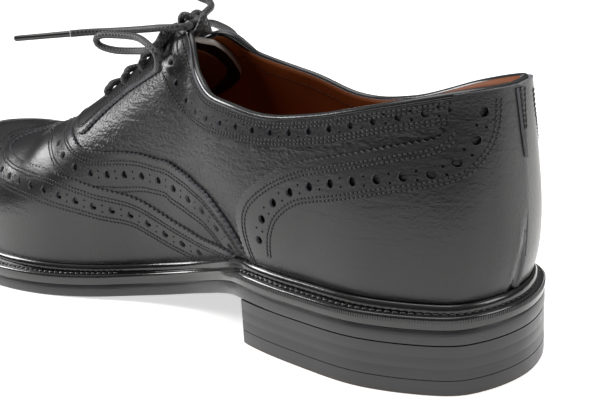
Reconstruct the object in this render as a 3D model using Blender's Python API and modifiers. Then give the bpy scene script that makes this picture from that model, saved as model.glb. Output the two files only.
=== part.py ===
"""Wingtip shoe, right foot: a closed-laced full brogue on a storm welt, standing on its sole.

Metres, +X from heel to toe, +Y to the inner (medial) side, +Z up. Stations are measured forward from the back
of the heel, and the whole shoe hangs on one empty that puts the frame's origin under the middle of the heel.
"""

import math
from collections import namedtuple

import bmesh
import bpy
import numpy as np
from mathutils import Matrix, Vector

# Driving dimensions
SHOE_LENGTH = 0.312
BALL_WIDTH = 0.107
UPPER_HEIGHT = 0.090
HEEL_RISE = 0.016
TOE_SPRING = 0.013
HEEL_LENGTH = 0.089
HEEL_CENTRE = 0.043

# Walls and layers
CLEARANCE = 0.0003
OUTSOLE_THICKNESS = 0.005
WELT_THICKNESS = 0.004
WELT_SEAT = 0.0004
WELT_REACH = 0.0088
WELT_BEAD_HEIGHT = 0.0022
WELT_BEAD_WIDTH = 0.0025
TOP_PIECE_THICKNESS = 0.005
HEEL_INSET = 0.0008
INSOLE_THICKNESS = 0.003
INSOLE_GAP = 0.0022
UPPER_WALL = 0.0020
UPPER_SEAT = 0.0006
OVERLAY_GAP = 0.0005
OVERLAY_THICKNESS = 0.0010
CAP_THICKNESS = 0.0015
BACKSTAY_THICKNESS = 0.0008
SOLE_EDGE_ROUND = 0.12 * OUTSOLE_THICKNESS
WELT_EDGE_ROUND = 0.15 * WELT_THICKNESS
WELT_GROOVE = 0.2 * WELT_THICKNESS
BREAST_MARGIN = 0.002
FOOT_GAP = OVERLAY_GAP + CAP_THICKNESS + CLEARANCE

# Lacing
EYELET_ROWS = 4
EYELET_FIRST, EYELET_LAST = 8.40, 9.74
EYELET_RADIUS = 0.0019
EYELET_EDGE = 0.0062
LACE_DIAMETER = 0.0026
TONGUE_THICKNESS = 0.0022
TONGUE_GAP = 0.0010
TONGUE_STEPS = 5
AGLET_DIAMETER = 0.0022
AGLET_LENGTH = 0.0198
BAR_SPACING = 2.5 * LACE_DIAMETER
LOOP_SPACING = 2.2 * LACE_DIAMETER
MILLIMETRE = 0.001
KNOT_CENTRE = (130.0, 3.5, 102.1)
KNOT_RADII = (7.0, 6.0, 4.2)
KNOT_GAP = 0.0008

# The edge of the sole in plan. Stations are shares of the length, breadths shares of the ball width.
EdgeRow = namedtuple("EdgeRow", "name inner_x inner_y outer_x outer_y")
SOLE_EDGE = [
    EdgeRow("heel_back", 0.000, 0.000, 0.000, 0.000),
    EdgeRow("heel_corner", 0.012, 0.158, 0.012, -0.158),
    EdgeRow("heel_turn", 0.042, 0.262, 0.042, -0.262),
    EdgeRow("heel_side", 0.118, 0.341, 0.118, -0.338),
    EdgeRow("heel_mid", 0.198, 0.340, 0.198, -0.338),
    EdgeRow("breast", 0.275, 0.312, 0.275, -0.333),
    EdgeRow("waist_rear", 0.333, 0.250, 0.330, -0.338),
    EdgeRow("waist", 0.400, 0.222, 0.388, -0.362),
    EdgeRow("waist_front", 0.474, 0.262, 0.452, -0.413),
    EdgeRow("joint_rear", 0.545, 0.346, 0.519, -0.480),
    EdgeRow("ball_rear", 0.615, 0.415, 0.583, -0.533),
    EdgeRow("ball", 0.683, 0.440, 0.647, -0.560),
    EdgeRow("forepart", 0.756, 0.420, 0.724, -0.538),
    EdgeRow("toe_rear", 0.835, 0.358, 0.808, -0.452),
    EdgeRow("toe_side", 0.902, 0.288, 0.890, -0.345),
    EdgeRow("toe_turn", 0.953, 0.208, 0.950, -0.236),
    EdgeRow("toe_corner", 0.986, 0.118, 0.985, -0.128),
    EdgeRow("toe_tip", 1.000, 0.000, 1.000, 0.000),
]
TIP = len(SOLE_EDGE) - 1

# The line that each section of the upper climbs to, and how it climbs. top_x is a share of the length, centre and
# half_gap of the ball width, top_z of the upper's height above the sole, outer_drop likewise. rise and drop are
# shares of the section's own height, bulge and lean of the ball width.
TopRow = namedtuple(
    "TopRow",
    "name top_x centre half_gap top_z outer_drop rise bulge_in bulge_out lean_in lean_out drop",
)
SECTIONS = [
    TopRow("heel_back", 0.0150, 0.000, 0.000, 0.752, 0.000, 0.20, 0.100, 0.100, 0.016, 0.016, 0.36),
    TopRow("heel_corner", 0.0200, 0.000, 0.090, 0.754, 0.000, 0.20, 0.098, 0.098, 0.014, 0.012, 0.36),
    TopRow("heel_turn", 0.0420, 0.000, 0.166, 0.747, 0.006, 0.22, 0.090, 0.090, 0.014, 0.012, 0.36),
    TopRow("heel_side", 0.1000, 0.000, 0.236, 0.712, 0.020, 0.29, 0.070, 0.074, 0.022, 0.024, 0.36),
    TopRow("heel_mid", 0.1850, 0.004, 0.256, 0.655, 0.044, 0.36, 0.066, 0.062, 0.030, 0.034, 0.36),
    TopRow("breast", 0.2620, 0.010, 0.250, 0.637, 0.030, 0.44, 0.098, 0.064, 0.030, 0.036, 0.34),
    TopRow("waist_rear", 0.3260, 0.020, 0.215, 0.704, -0.020, 0.52, 0.136, 0.070, 0.034, 0.046, 0.32),
    TopRow("waist", 0.3680, 0.030, 0.150, 0.815, -0.020, 0.52, 0.136, 0.074, 0.050, 0.080, 0.26),
    TopRow("waist_front", 0.4060, 0.038, 0.075, 0.995, 0.030, 0.48, 0.100, 0.072, 0.110, 0.180, 0.12),
    TopRow("joint_rear", 0.4850, 0.042, 0.050, 0.890, 0.006, 0.48, 0.068, 0.066, 0.140, 0.220, 0.08),
    TopRow("ball_rear", 0.5650, 0.045, 0.034, 0.760, 0.000, 0.52, 0.052, 0.056, 0.170, 0.250, 0.06),
    TopRow("ball", 0.6450, 0.048, 0.000, 0.625, 0.000, 0.58, 0.046, 0.050, 0.200, 0.290, 0.00),
    TopRow("forepart", 0.7160, 0.048, 0.000, 0.545, 0.000, 0.62, 0.044, 0.046, 0.210, 0.290, 0.00),
    TopRow("toe_rear", 0.7900, 0.044, 0.000, 0.526, 0.000, 0.66, 0.044, 0.044, 0.190, 0.250, 0.00),
    TopRow("toe_side", 0.8500, 0.038, 0.000, 0.478, 0.000, 0.70, 0.044, 0.044, 0.150, 0.190, 0.00),
    TopRow("toe_turn", 0.8930, 0.030, 0.000, 0.405, 0.000, 0.74, 0.044, 0.044, 0.110, 0.130, 0.00),
    TopRow("toe_corner", 0.9160, 0.022, 0.000, 0.350, 0.000, 0.76, 0.044, 0.044, 0.090, 0.096, 0.02),
    TopRow("toe_tip", 0.9240, 0.018, 0.000, 0.330, 0.000, 0.78, 0.044, 0.044, 0.080, 0.080, 0.03),
]
FACING_TOP = 8
THROAT = 11
COARSE_STEP = 1 / 2
FINE_STEP = 1 / 3
WAIST_FROM, WAIST_TO = 4, 9
UPWARD_STEPS = 7

# Outlines of the pieces sewn over the upper, each a ring of points (section, share of the way up).
# They are the same on both sides of the shoe.
FOOT_LINE = 0.02
TOP_LINE = 0.985
SEAM = 0.0009
CAP_FOOT_LEAD = 0.10
VAMP_FOOT_LEAD = 0.02
VAMP_FRONT_LAG = 0.16
VAMP_RIDGE_LAG = 0.10
CLIMB = 0.8
ARCH_FROM, ARCH_TO = 0.287, 0.600
ARCH_CUTS = 16
WING_EDGE = [
    (5.90, 0.085), (6.65, 0.145), (7.05, 0.185), (7.45, 0.215), (7.90, 0.245), (8.40, 0.285), (9.10, 0.35),
    (9.80, 0.42), (10.25, 0.465), (10.70, 0.505), (11.15, 0.55), (11.60, 0.62), (11.93, 0.69), (12.06, 0.76),
    (12.02, 0.85), (11.88, 0.93), (11.60, 1.00),
]
VAMP_EDGE = [
    (5.20, 0.08), (5.45, 0.13), (5.70, 0.24), (5.98, 0.33), (6.22, 0.385), (6.60, 0.42), (6.95, 0.44),
    (7.38, 0.43), (7.78, 0.40), (8.20, 0.41), (8.65, 0.445), (9.10, 0.48), (9.42, 0.51), (9.68, 0.555),
    (9.95, 0.625), (10.22, 0.70), (10.40, 0.79), (10.58, 0.89), (10.82, 0.96), (11.02, 1.00),
]
COUNTER_EDGE = [
    (5.12, FOOT_LINE), (5.18, 0.18), (5.16, 0.34), (5.02, 0.48), (4.84, 0.57), (4.60, 0.66), (4.36, 0.72),
    (4.10, 0.76), (3.85, 0.78), (3.35, 0.80), (2.85, 0.82), (2.50, 0.83), (2.25, 0.84), (2.10, 0.89),
    (2.04, TOP_LINE),
]
COLLAR_EDGE = [
    (2.15, 0.885), (2.85, 0.88), (3.45, 0.865), (4.15, 0.85), (4.95, 0.83), (5.60, 0.80), (6.15, 0.785),
    (6.65, 0.765), (7.10, 0.735), (7.45, 0.69), (7.68, 0.67), (7.88, 0.69), (8.06, 0.735),
]
FACING_EDGE = [
    (8.14, 0.765), (8.45, 0.765), (8.90, 0.785), (9.20, 0.77), (9.45, 0.735), (9.62, 0.69), (9.76, 0.64),
    (9.93, 0.665), (10.14, 0.72), (10.31, 0.80), (10.49, 0.90), (10.68, 0.955), (10.78, TOP_LINE),
]
BACKSTAY_EDGE = [(0.0, 0.72), (0.08, 0.77), (0.14, 0.83), (0.20, 0.91), (0.27, TOP_LINE)]

# The tongue from its root to its end: sections, and how far down each side it reaches.
TongueRow = namedtuple("TongueRow", "section inner outer")
TONGUE = [
    TongueRow(11.60, 0.900, 0.900),
    TongueRow(11.20, 0.830, 0.830),
    TongueRow(10.80, 0.790, 0.790),
    TongueRow(10.40, 0.760, 0.760),
    TongueRow(10.00, 0.730, 0.730),
    TongueRow(9.60, 0.710, 0.710),
    TongueRow(9.20, 0.690, 0.690),
    TongueRow(8.80, 0.680, 0.680),
    TongueRow(8.50, 0.690, 0.680),
    TongueRow(8.28, 0.740, 0.690),
    TongueRow(8.16, 0.800, 0.705),
    TongueRow(8.08, 0.880, 0.730),
]

# The free laces, chosen points in millimetres from the back of the heel. Those on the knot are moved onto it.
NEAR_LOOP = [
    (132.5, 10.0, 102.0), (133.8, 15.0, 100.4), (132.9, 19.6, 97.1), (136.2, 21.2, 94.9), (145.8, 19.8, 93.9),
    (154.7, 21.0, 93.9), (161.2, 22.0, 95.2), (162.4, 23.0, 97.5), (159.2, 23.0, 99.4), (150.9, 21.5, 99.5),
    (142.0, 21.0, 99.0), (134.0, 23.2, 97.3), (129.4, 23.8, 94.6), (128.9, 23.6, 91.6), (130.4, 22.9, 88.9),
]
NEAR_END = [
    (126.0, 10.5, 102.3), (124.2, 14.2, 102.5), (127.6, 17.0, 102.4), (133.4, 18.1, 102.2), (138.5, 17.8, 101.7),
    (150.0, 17.0, 100.7), (160.0, 18.0, 100.1), (167.2, 21.6, 100.0), (171.8, 27.0, 99.95),
]
FAR_LOOP = [
    (133.0, -3.0, 101.6), (134.7, -6.4, 100.9), (136.2, -11.0, 100.1), (137.3, -16.0, 98.4), (138.6, -22.0, 95.7),
    (139.9, -26.5, 92.2), (142.6, -29.0, 90.6), (144.9, -27.5, 93.4), (144.2, -22.5, 97.0), (143.3, -17.0, 99.1),
    (142.2, -11.5, 99.6), (141.0, -5.0, 100.2), (138.0, 0.0, 101.2),
]
FAR_END = [
    (131.5, -3.5, 105.5), (132.2, -5.6, 105.9), (133.6, -7.8, 106.1), (134.4, -9.0, 107.0), (136.0, -9.5, 108.2),
    (139.2, -9.3, 109.2), (144.0, -9.2, 110.6), (150.5, -9.5, 111.6), (157.5, -11.0, 111.8),
]

# The underside of the outsole along the shoe: stations as shares of the length, heights as shares of the heel's
# rise behind the ball and of the toe spring ahead of it.
ArchRow = namedtuple("ArchRow", "station rise spring")
ARCH = [
    ArchRow(0.000, 1.000, 0.0),
    ArchRow(0.080, 1.000, 0.0),
    ArchRow(0.160, 1.000, 0.0),
    ArchRow(0.220, 1.000, 0.0),
    ArchRow(0.287, 1.000, 0.0),
    ArchRow(0.332, 0.800, 0.0),
    ArchRow(0.375, 0.560, 0.0),
    ArchRow(0.430, 0.310, 0.0),
    ArchRow(0.490, 0.130, 0.0),
    ArchRow(0.550, 0.030, 0.0),
    ArchRow(0.600, 0.000, 0.0),
    ArchRow(0.660, 0.000, 0.0),
    ArchRow(0.720, 0.000, 0.0),
    ArchRow(0.790, 0.000, 0.11),
    ArchRow(0.860, 0.000, 0.32),
    ArchRow(0.930, 0.000, 0.62),
    ArchRow(1.000, 0.000, 1.00),
]


def section_lines():
    """The sections where the surfaces are cut into facets, closer together round the hollow waist."""
    rear = np.arange(0, WAIST_FROM, COARSE_STEP)
    waist = np.arange(WAIST_FROM, WAIST_TO - FINE_STEP / 2, FINE_STEP)
    front = np.arange(WAIST_TO, TIP + COARSE_STEP / 2, COARSE_STEP)
    return [float(u) for u in (*rear, *waist, *front)]


def spline(rows, at):
    """A smooth curve through evenly numbered rows of numbers, read at each value of at."""
    rows = np.asarray(rows, float)
    at = np.clip(np.asarray(at, float), 0, len(rows) - 1)
    low = np.minimum(at.astype(int), len(rows) - 2)
    share = (at - low)[..., None]
    before = rows[np.maximum(low - 1, 0)]
    start = rows[low]
    end = rows[low + 1]
    after = rows[np.minimum(low + 2, len(rows) - 1)]
    return 0.5 * (
        2 * start
        + (end - before) * share
        + (2 * before - 5 * start + 4 * end - after) * share**2
        + (3 * start - before - 3 * end + after) * share**3
    )


def underside(x):
    """Height of the outsole's underside at a station."""
    stations = [row.station * SHOE_LENGTH for row in ARCH]
    heights = [row.rise * HEEL_RISE + row.spring * TOE_SPRING for row in ARCH]
    fine = np.linspace(0, len(ARCH) - 1, 12 * (len(ARCH) - 1) + 1)
    curve = spline(np.column_stack([stations, heights]), fine)
    return np.interp(x, curve[:, 0], np.maximum(curve[:, 1], 0))


def sole_top(x):
    """Height of the outsole's upper face at a station."""
    return underside(x) + OUTSOLE_THICKNESS


def edge_loop():
    """The sole's edge as a closed ring of rows: up the inner side, over the toe and back down the outer side."""
    inner = [(row.inner_x * SHOE_LENGTH, row.inner_y * BALL_WIDTH) for row in SOLE_EDGE]
    outer = [(row.outer_x * SHOE_LENGTH, row.outer_y * BALL_WIDTH) for row in SOLE_EDGE]
    return np.array(inner + outer[-2:0:-1])


def edge_point(u, side, inset=0.0):
    """A point of the sole's edge at section u, inset towards the middle, and the outward direction there.

    side is 1 on the inner side and -1 on the outer side.
    """
    ring = edge_loop()
    count = len(ring)
    wrapped = np.concatenate([ring[-3:], ring, ring[:4]])
    u = np.asarray(u, float)
    along = (u if side > 0 else np.mod(count - u, count)) + 3
    step = 0.02
    point = spline(wrapped, along)
    ahead = spline(wrapped, along + step) - spline(wrapped, along - step)
    ahead /= np.linalg.norm(ahead, axis=-1, keepdims=True)
    out = np.stack([-ahead[..., 1], ahead[..., 0]], -1)
    return point - out * inset, out


def upper_point(u, v, side):
    """The outside of the upper at section u and share v of the way from the welt to the top line."""
    u, v = np.broadcast_arrays(np.asarray(u, float), np.asarray(v, float))
    row = spline(np.array([r[1:] for r in SECTIONS], float), u)
    top_x, centre, gap, top_z, outer_drop, rise, bulge_in, bulge_out, lean_in, lean_out, drop = np.moveaxis(row, -1, 0)
    gap = np.maximum(gap, 0)
    foot_xy, out_xy = edge_point(u, side, WELT_REACH)
    foot = np.stack([foot_xy[..., 0], foot_xy[..., 1], sole_top(foot_xy[..., 0]) + UPPER_SEAT], -1)
    out = np.stack([out_xy[..., 0], out_xy[..., 1], np.zeros_like(u)], -1)
    up = np.array([0.0, 0.0, 1.0])
    top_x = top_x * SHOE_LENGTH
    top_y = (centre + side * gap) * BALL_WIDTH
    lower = outer_drop if side < 0 else 0.0
    top = np.stack([top_x, top_y, sole_top(top_x) + (top_z - lower) * UPPER_HEIGHT], -1)
    height = (top - foot)[..., 2:]
    bulge = (bulge_in if side > 0 else bulge_out)[..., None] * BALL_WIDTH
    lean = (lean_in if side > 0 else lean_out)[..., None] * BALL_WIDTH
    lower_hand = foot + out * bulge + up * height * rise[..., None]
    upper_hand = top + out * lean - up * height * drop[..., None]
    v = v[..., None]
    return (1 - v) ** 3 * foot + 3 * (1 - v) ** 2 * v * lower_hand + 3 * (1 - v) * v**2 * upper_hand + v**3 * top


def upper_normal(u, v, side):
    """The outward direction of the upper's surface."""
    step = 0.01
    u, v = np.broadcast_arrays(np.asarray(u, float), np.asarray(v, float))
    u0, u1 = np.maximum(u - step, 0), np.minimum(u + step, TIP)
    v0, v1 = np.maximum(v - step, 0), np.minimum(v + step, 1)
    # The ridge and the toe's middle line run into each other at the top of the toe, so the way along the shoe is
    # read just below the ridge.
    below = np.minimum(v, 0.96)
    along = upper_point(u1, below, side) - upper_point(u0, below, side)
    climb = upper_point(u, v1, side) - upper_point(u, v0, side)
    normal = np.cross(climb, along) * side
    # At the two ends of the shoe both sides share a line, and the direction lies in the plane between them.
    normal[..., 1] = np.where((u <= 0) | (u >= TIP), 0.0, normal[..., 1])
    ridge = (v >= 1) & (u >= THROAT)
    normal[..., 1] = np.where(ridge, 0.0, normal[..., 1])
    return normal / np.linalg.norm(normal, axis=-1, keepdims=True)


def upper_height(u, side, height):
    """The outside of the upper where it stands a given height above its foot, and its direction there."""
    shares = np.linspace(0, 0.5, 26)
    points = upper_point(u, shares, side)
    share = np.interp(height, points[:, 2] - points[0, 2], shares)
    return upper_point(u, share, side), upper_normal(u, share, side)


def material(name, colour, roughness, metallic=0.0):
    """A plain Principled material in linear colour."""
    finish = bpy.data.materials.new(name)
    finish.use_nodes = True
    shader = finish.node_tree.nodes["Principled BSDF"]
    shader.inputs["Base Color"].default_value = (*colour, 1.0)
    shader.inputs["Roughness"].default_value = roughness
    shader.inputs["Metallic"].default_value = metallic
    return finish


def link(name, mesh, finish, smooth=True):
    """Add a mesh to the shoe's collection under its empty."""
    obj = bpy.data.objects.new(name, mesh)
    mesh.materials.append(finish)
    shoe.objects.link(obj)
    obj.parent = centre
    if smooth:
        mesh.shade_smooth()
        mesh.set_sharp_from_angle(angle=math.radians(40))
    return obj


def finish_mesh(bm, name):
    """Turn a bmesh into a mesh with its faces pointing out."""
    bmesh.ops.remove_doubles(bm, verts=bm.verts[:], dist=0.00002)
    bmesh.ops.recalc_face_normals(bm, faces=bm.faces[:])
    if bm.calc_volume(signed=True) < 0:
        bmesh.ops.reverse_faces(bm, faces=bm.faces[:])
    mesh = bpy.data.meshes.new(name)
    bm.to_mesh(mesh)
    bm.free()
    return mesh


def shell_layers(bm):
    """Turn the sides of an open surface so that its faces look away from the shoe's inside."""
    bmesh.ops.remove_doubles(bm, verts=bm.verts[:], dist=0.00002)
    bmesh.ops.recalc_face_normals(bm, faces=bm.faces[:])
    outward = 0.0
    for face in bm.faces:
        middle = face.calc_center_median()
        core = Vector((min(max(middle.x, HEEL_CENTRE), SHOE_LENGTH * 0.8), 0.0, UPPER_HEIGHT / 2))
        outward += face.calc_area() * face.normal.dot(middle - core)
    if outward < 0:
        bmesh.ops.reverse_faces(bm, faces=bm.faces[:])


def ring_stations():
    """Section numbers and sides round the whole edge of the sole, from the heel's back over the toe."""
    lines = section_lines()
    inner = [(u, 1) for u in lines]
    outer = [(u, -1) for u in lines[-2:0:-1]]
    return inner + outer


def layered_sole(bm, stations, levels):
    """A slab bounded by rings round the sole.

    levels holds (inset, height above the underside) from the bottom ring to the top ring.
    """
    rings = []
    for inset, height in levels:
        ring = []
        for u, side in stations:
            xy, _ = edge_point(u, side, inset)
            ring.append(bm.verts.new((xy[0], xy[1], underside(xy[0]) + height)))
        rings.append(ring)
    count = len(stations)
    for lower, upper in zip(rings, rings[1:]):
        for k in range(count):
            after = (k + 1) % count
            bm.faces.new((lower[k], lower[after], upper[after], upper[k]))
    for ring in (rings[0], rings[-1]):
        for k in range(count // 2):
            corners = [ring[k], ring[k + 1], ring[-k - 1], ring[-k]] if k else [ring[0], ring[1], ring[-1]]
            bm.faces.new(list(dict.fromkeys(corners)))
    bm.normal_update()
    # The arch bends most behind the ball, so all slabs are cut there at the same stations.
    for k in range(ARCH_CUTS + 1):
        x = SHOE_LENGTH * (ARCH_FROM + (ARCH_TO - ARCH_FROM) * k / ARCH_CUTS)
        cut_flat(bm, (x, 0.0, 0.0), (1.0, 0.0, 0.0), 0.00005)
    for vert in bm.verts:
        lift = vert.co.z - underside(vert.co.x)
        caps = {face for face in vert.link_faces if abs(face.normal.z) > 0.8}
        if len(caps) == len(vert.link_faces):
            height = min((levels[0][1], levels[-1][1]), key=lambda h: abs(h - lift))
        else:
            height = min((height for _, height in levels), key=lambda h: abs(h - lift))
        vert.co.z = underside(vert.co.x) + height


def outsole():
    """The leather outsole, from the heel's back to the toe, following the waist's arch and the toe spring."""
    bm = bmesh.new()
    edge = SOLE_EDGE_ROUND
    levels = [(edge, 0.0), (0.0, edge), (0.0, OUTSOLE_THICKNESS - edge), (edge / 2, OUTSOLE_THICKNESS)]
    layered_sole(bm, ring_stations(), levels)
    return link("outsole", finish_mesh(bm, "outsole"), sole_leather)


def insole():
    """The sock inside the upper, which lies on the outsole."""
    bm = bmesh.new()
    inset = WELT_REACH + UPPER_WALL + INSOLE_GAP
    low = OUTSOLE_THICKNESS + CLEARANCE
    layered_sole(bm, ring_stations(), [(inset, low), (inset, low + INSOLE_THICKNESS)])
    return link("insole", finish_mesh(bm, "insole"), lining)


def welt():
    """The storm welt: a flat strip on the outsole all the way round, with a raised bead against the upper."""
    bm = bmesh.new()
    top = WELT_THICKNESS
    crest = WELT_THICKNESS + WELT_BEAD_HEIGHT
    outer = [(0.0, 0.0), (0.0, top - WELT_EDGE_ROUND), (WELT_EDGE_ROUND, top)]
    inner = [
        (WELT_BEAD_WIDTH, top - WELT_GROOVE),
        (WELT_BEAD_WIDTH * 0.88, top + WELT_BEAD_HEIGHT * 0.60),
        (WELT_BEAD_WIDTH * 0.50, crest),
        (0.0, crest - WELT_BEAD_HEIGHT * 0.40),
        (0.0, 0.0),
    ]
    rings = []
    for u, side in ring_stations():
        ring = []
        for inset, height in outer:
            xy, _ = edge_point(u, side, inset)
            ring.append(Vector((xy[0], xy[1], sole_top(xy[0]) + WELT_SEAT + height)))
        for reach, height in inner:
            point, direction = upper_height(u, side, height)
            flat = np.array([direction[0], direction[1], 0.0])
            flat /= np.linalg.norm(flat)
            spot = point + flat * (FOOT_GAP + reach)
            ring.append(Vector((spot[0], spot[1], sole_top(spot[0]) + WELT_SEAT + height)))
        rings.append([bm.verts.new(spot) for spot in ring])
    count = len(rings)
    size = len(rings[0])
    for k in range(count):
        here, after = rings[k], rings[(k + 1) % count]
        for j in range(size):
            nxt = (j + 1) % size
            bm.faces.new((here[j], after[j], after[nxt], here[nxt]))
    return link("welt", finish_mesh(bm, "welt"), edge_black)


def heel_block(name, bottom, top, bottom_inset, top_inset, finish):
    """A lift of the heel between two heights, with a straight breast at HEEL_LENGTH."""
    bm = bmesh.new()
    stations = [k / 4 for k in range(0, 4 * 8)]
    rings = []
    for height, inset in ((bottom, bottom_inset), (top, top_inset)):
        sides = []
        for side in (1, -1):
            points = [edge_point(u, side, inset)[0] for u in stations]
            kept = [xy for xy in points if xy[0] < HEEL_LENGTH - BREAST_MARGIN]
            ahead = points[len(kept)]
            share = (HEEL_LENGTH - kept[-1][0]) / (ahead[0] - kept[-1][0])
            kept.append(kept[-1] + (ahead - kept[-1]) * share)
            sides.append(kept)
        outline = sides[0] + sides[1][:0:-1]
        rings.append([bm.verts.new((xy[0], xy[1], height)) for xy in outline])
    lower, upper = rings
    count = len(lower)
    for k in range(count):
        after = (k + 1) % count
        bm.faces.new((lower[k], lower[after], upper[after], upper[k]))
    bm.faces.new(lower)
    bm.faces.new(upper)
    return link(name, finish_mesh(bm, name), finish)


def upper_shell():
    """The upper as one hollow shell, open at the collar, down the throat and underneath."""
    bm = bmesh.new()
    for side in (1, -1):
        grid = [
            [bm.verts.new(upper_point(u, j / UPWARD_STEPS, side)) for j in range(UPWARD_STEPS + 1)]
            for u in section_lines()
        ]
        for here, after in zip(grid, grid[1:]):
            for j in range(UPWARD_STEPS):
                bm.faces.new((here[j], after[j], after[j + 1], here[j + 1]))
    shell_layers(bm)
    mesh = bpy.data.meshes.new("upper")
    bm.to_mesh(mesh)
    bm.free()
    obj = link("upper", mesh, calf)
    add_wall(obj, UPPER_WALL, -1.0)
    return obj


def add_wall(obj, thickness, offset):
    """Give an open surface its thickness."""
    wall = obj.modifiers.new("wall", "SOLIDIFY")
    wall.thickness = thickness
    wall.offset = offset


def panel(name, outline, gap, thickness, finish, sides=(1, -1)):
    """A piece sewn over the upper: its flat outline is cut along the upper's grid and laid on its surface."""
    whole = bmesh.new()
    for side in sides:
        bm = bmesh.new()
        bm.faces.new([bm.verts.new((u, v, 0.0)) for u, v in outline])
        for u in section_lines()[1:-1]:
            cut_flat(bm, (u, 0.0, 0.0), (1.0, 0.0, 0.0))
        for j in range(1, UPWARD_STEPS):
            cut_flat(bm, (0.0, j / UPWARD_STEPS, 0.0), (0.0, 1.0, 0.0))
        bmesh.ops.triangulate(bm, faces=[face for face in bm.faces if len(face.verts) > 4])
        placed = {}
        for vert in bm.verts:
            u, v = vert.co.x, vert.co.y
            spot = upper_point(u, v, side) + upper_normal(u, v, side) * gap
            placed[vert] = whole.verts.new(spot)
        for face in bm.faces:
            whole.faces.new([placed[vert] for vert in face.verts])
        bm.free()
    shell_layers(whole)
    mesh = bpy.data.meshes.new(name)
    whole.to_mesh(mesh)
    whole.free()
    obj = link(name, mesh, finish)
    add_wall(obj, thickness, 1.0)
    return obj


def cut_flat(bm, place, direction, slack=0.004):
    """Split every face that a plane crosses."""
    geometry = bm.verts[:] + bm.edges[:] + bm.faces[:]
    bmesh.ops.bisect_plane(bm, geom=geometry, dist=slack, plane_co=place, plane_no=direction)


def beside(points, distance):
    """A line beside an outline's line: to its left as it climbs, a distance away on the leather."""
    scale = np.array([SHOE_LENGTH / TIP, UPPER_HEIGHT * CLIMB])
    line = np.array(points) * scale
    along = np.gradient(line, axis=0)
    along /= np.linalg.norm(along, axis=1, keepdims=True)
    left = np.column_stack([-along[:, 1], along[:, 0]])
    return [tuple(point) for point in (line + left * distance) / scale]


def wing_cap():
    """The winged toe cap, with its point on the ridge and its wings back to the waist."""
    foot = (WING_EDGE[0][0] - CAP_FOOT_LEAD, FOOT_LINE)
    outline = [foot, *WING_EDGE, (TIP, 1.0), (TIP, FOOT_LINE)]
    return panel("wing_cap", outline, OVERLAY_GAP, CAP_THICKNESS, calf_cap)


def vamp():
    """The vamp between the wing cap and the facings."""
    front = beside(WING_EDGE, SEAM)[:-1]
    ridge = (WING_EDGE[-1][0] - VAMP_RIDGE_LAG, 1.0)
    foot = [(VAMP_EDGE[0][0] - VAMP_FOOT_LEAD, FOOT_LINE), (WING_EDGE[0][0] - VAMP_FRONT_LAG, FOOT_LINE)]
    outline = [*foot, *front, ridge, *reversed(VAMP_EDGE)]
    return panel("vamp", outline, OVERLAY_GAP, OVERLAY_THICKNESS, calf)


def heel_counter():
    """The foxing round the heel, from the top line down to the welt."""
    outline = [(0.0, FOOT_LINE), *COUNTER_EDGE, (0.0, TOP_LINE)]
    return panel("heel_counter", outline, OVERLAY_GAP, OVERLAY_THICKNESS, calf_cap)


def collar_band(name, side):
    """The strip along the top line."""
    outline = [*COLLAR_EDGE, (COLLAR_EDGE[-1][0], TOP_LINE), (COLLAR_EDGE[0][0], TOP_LINE)]
    return panel(name, outline, OVERLAY_GAP, OVERLAY_THICKNESS, calf, (side,))


def facing(name, side):
    """The strip beside the throat that carries the eyelets."""
    outline = [*FACING_EDGE, (FACING_EDGE[0][0], TOP_LINE)]
    return panel(name, outline, OVERLAY_GAP, OVERLAY_THICKNESS, calf, (side,))


def backstay():
    """The pointed strip down the back seam, over the heel counter."""
    gap = OVERLAY_GAP + OVERLAY_THICKNESS + CLEARANCE
    outline = [*BACKSTAY_EDGE, (0.0, TOP_LINE)]
    return panel("backstay", outline, gap, BACKSTAY_THICKNESS, calf)


def eyelet_places(side):
    """Where the lace passes through the facing: section, share, point and direction for each hole."""
    places = []
    for k in range(EYELET_ROWS):
        u = EYELET_FIRST + (EYELET_LAST - EYELET_FIRST) * k / (EYELET_ROWS - 1)
        shares = np.linspace(1.0, 0.6, 41)
        line = upper_point(u, shares, side)
        reach = np.concatenate([[0], np.cumsum(np.linalg.norm(np.diff(line, axis=0), axis=1))])
        v = float(np.interp(EYELET_EDGE, reach, shares))
        places.append((u, v, upper_point(u, v, side), upper_normal(u, v, side)))
    return places


def eyelet_cutter():
    """The pins that punch the lace holes, as one cutter."""
    bm = bmesh.new()
    for side in (1, -1):
        for _, _, point, direction in eyelet_places(side):
            turn = Vector(direction).to_track_quat("Z", "Y").to_matrix().to_4x4()
            place = Matrix.Translation(Vector(point)) @ turn
            bmesh.ops.create_cone(
                bm, cap_ends=True, segments=8, radius1=EYELET_RADIUS, radius2=EYELET_RADIUS,
                depth=6 * UPPER_WALL, matrix=place,
            )
    mesh = bpy.data.meshes.new("eyelet_pins")
    bm.to_mesh(mesh)
    bm.free()
    obj = bpy.data.objects.new("eyelet_pins", mesh)
    cutters.objects.link(obj)
    obj.parent = centre
    obj.hide_render = True
    obj.display_type = "WIRE"
    return obj


def punch(obj, pins):
    """Cut the lace holes through a piece."""
    cut = obj.modifiers.new("eyelets", "BOOLEAN")
    cut.operation = "DIFFERENCE"
    cut.object = pins


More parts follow.
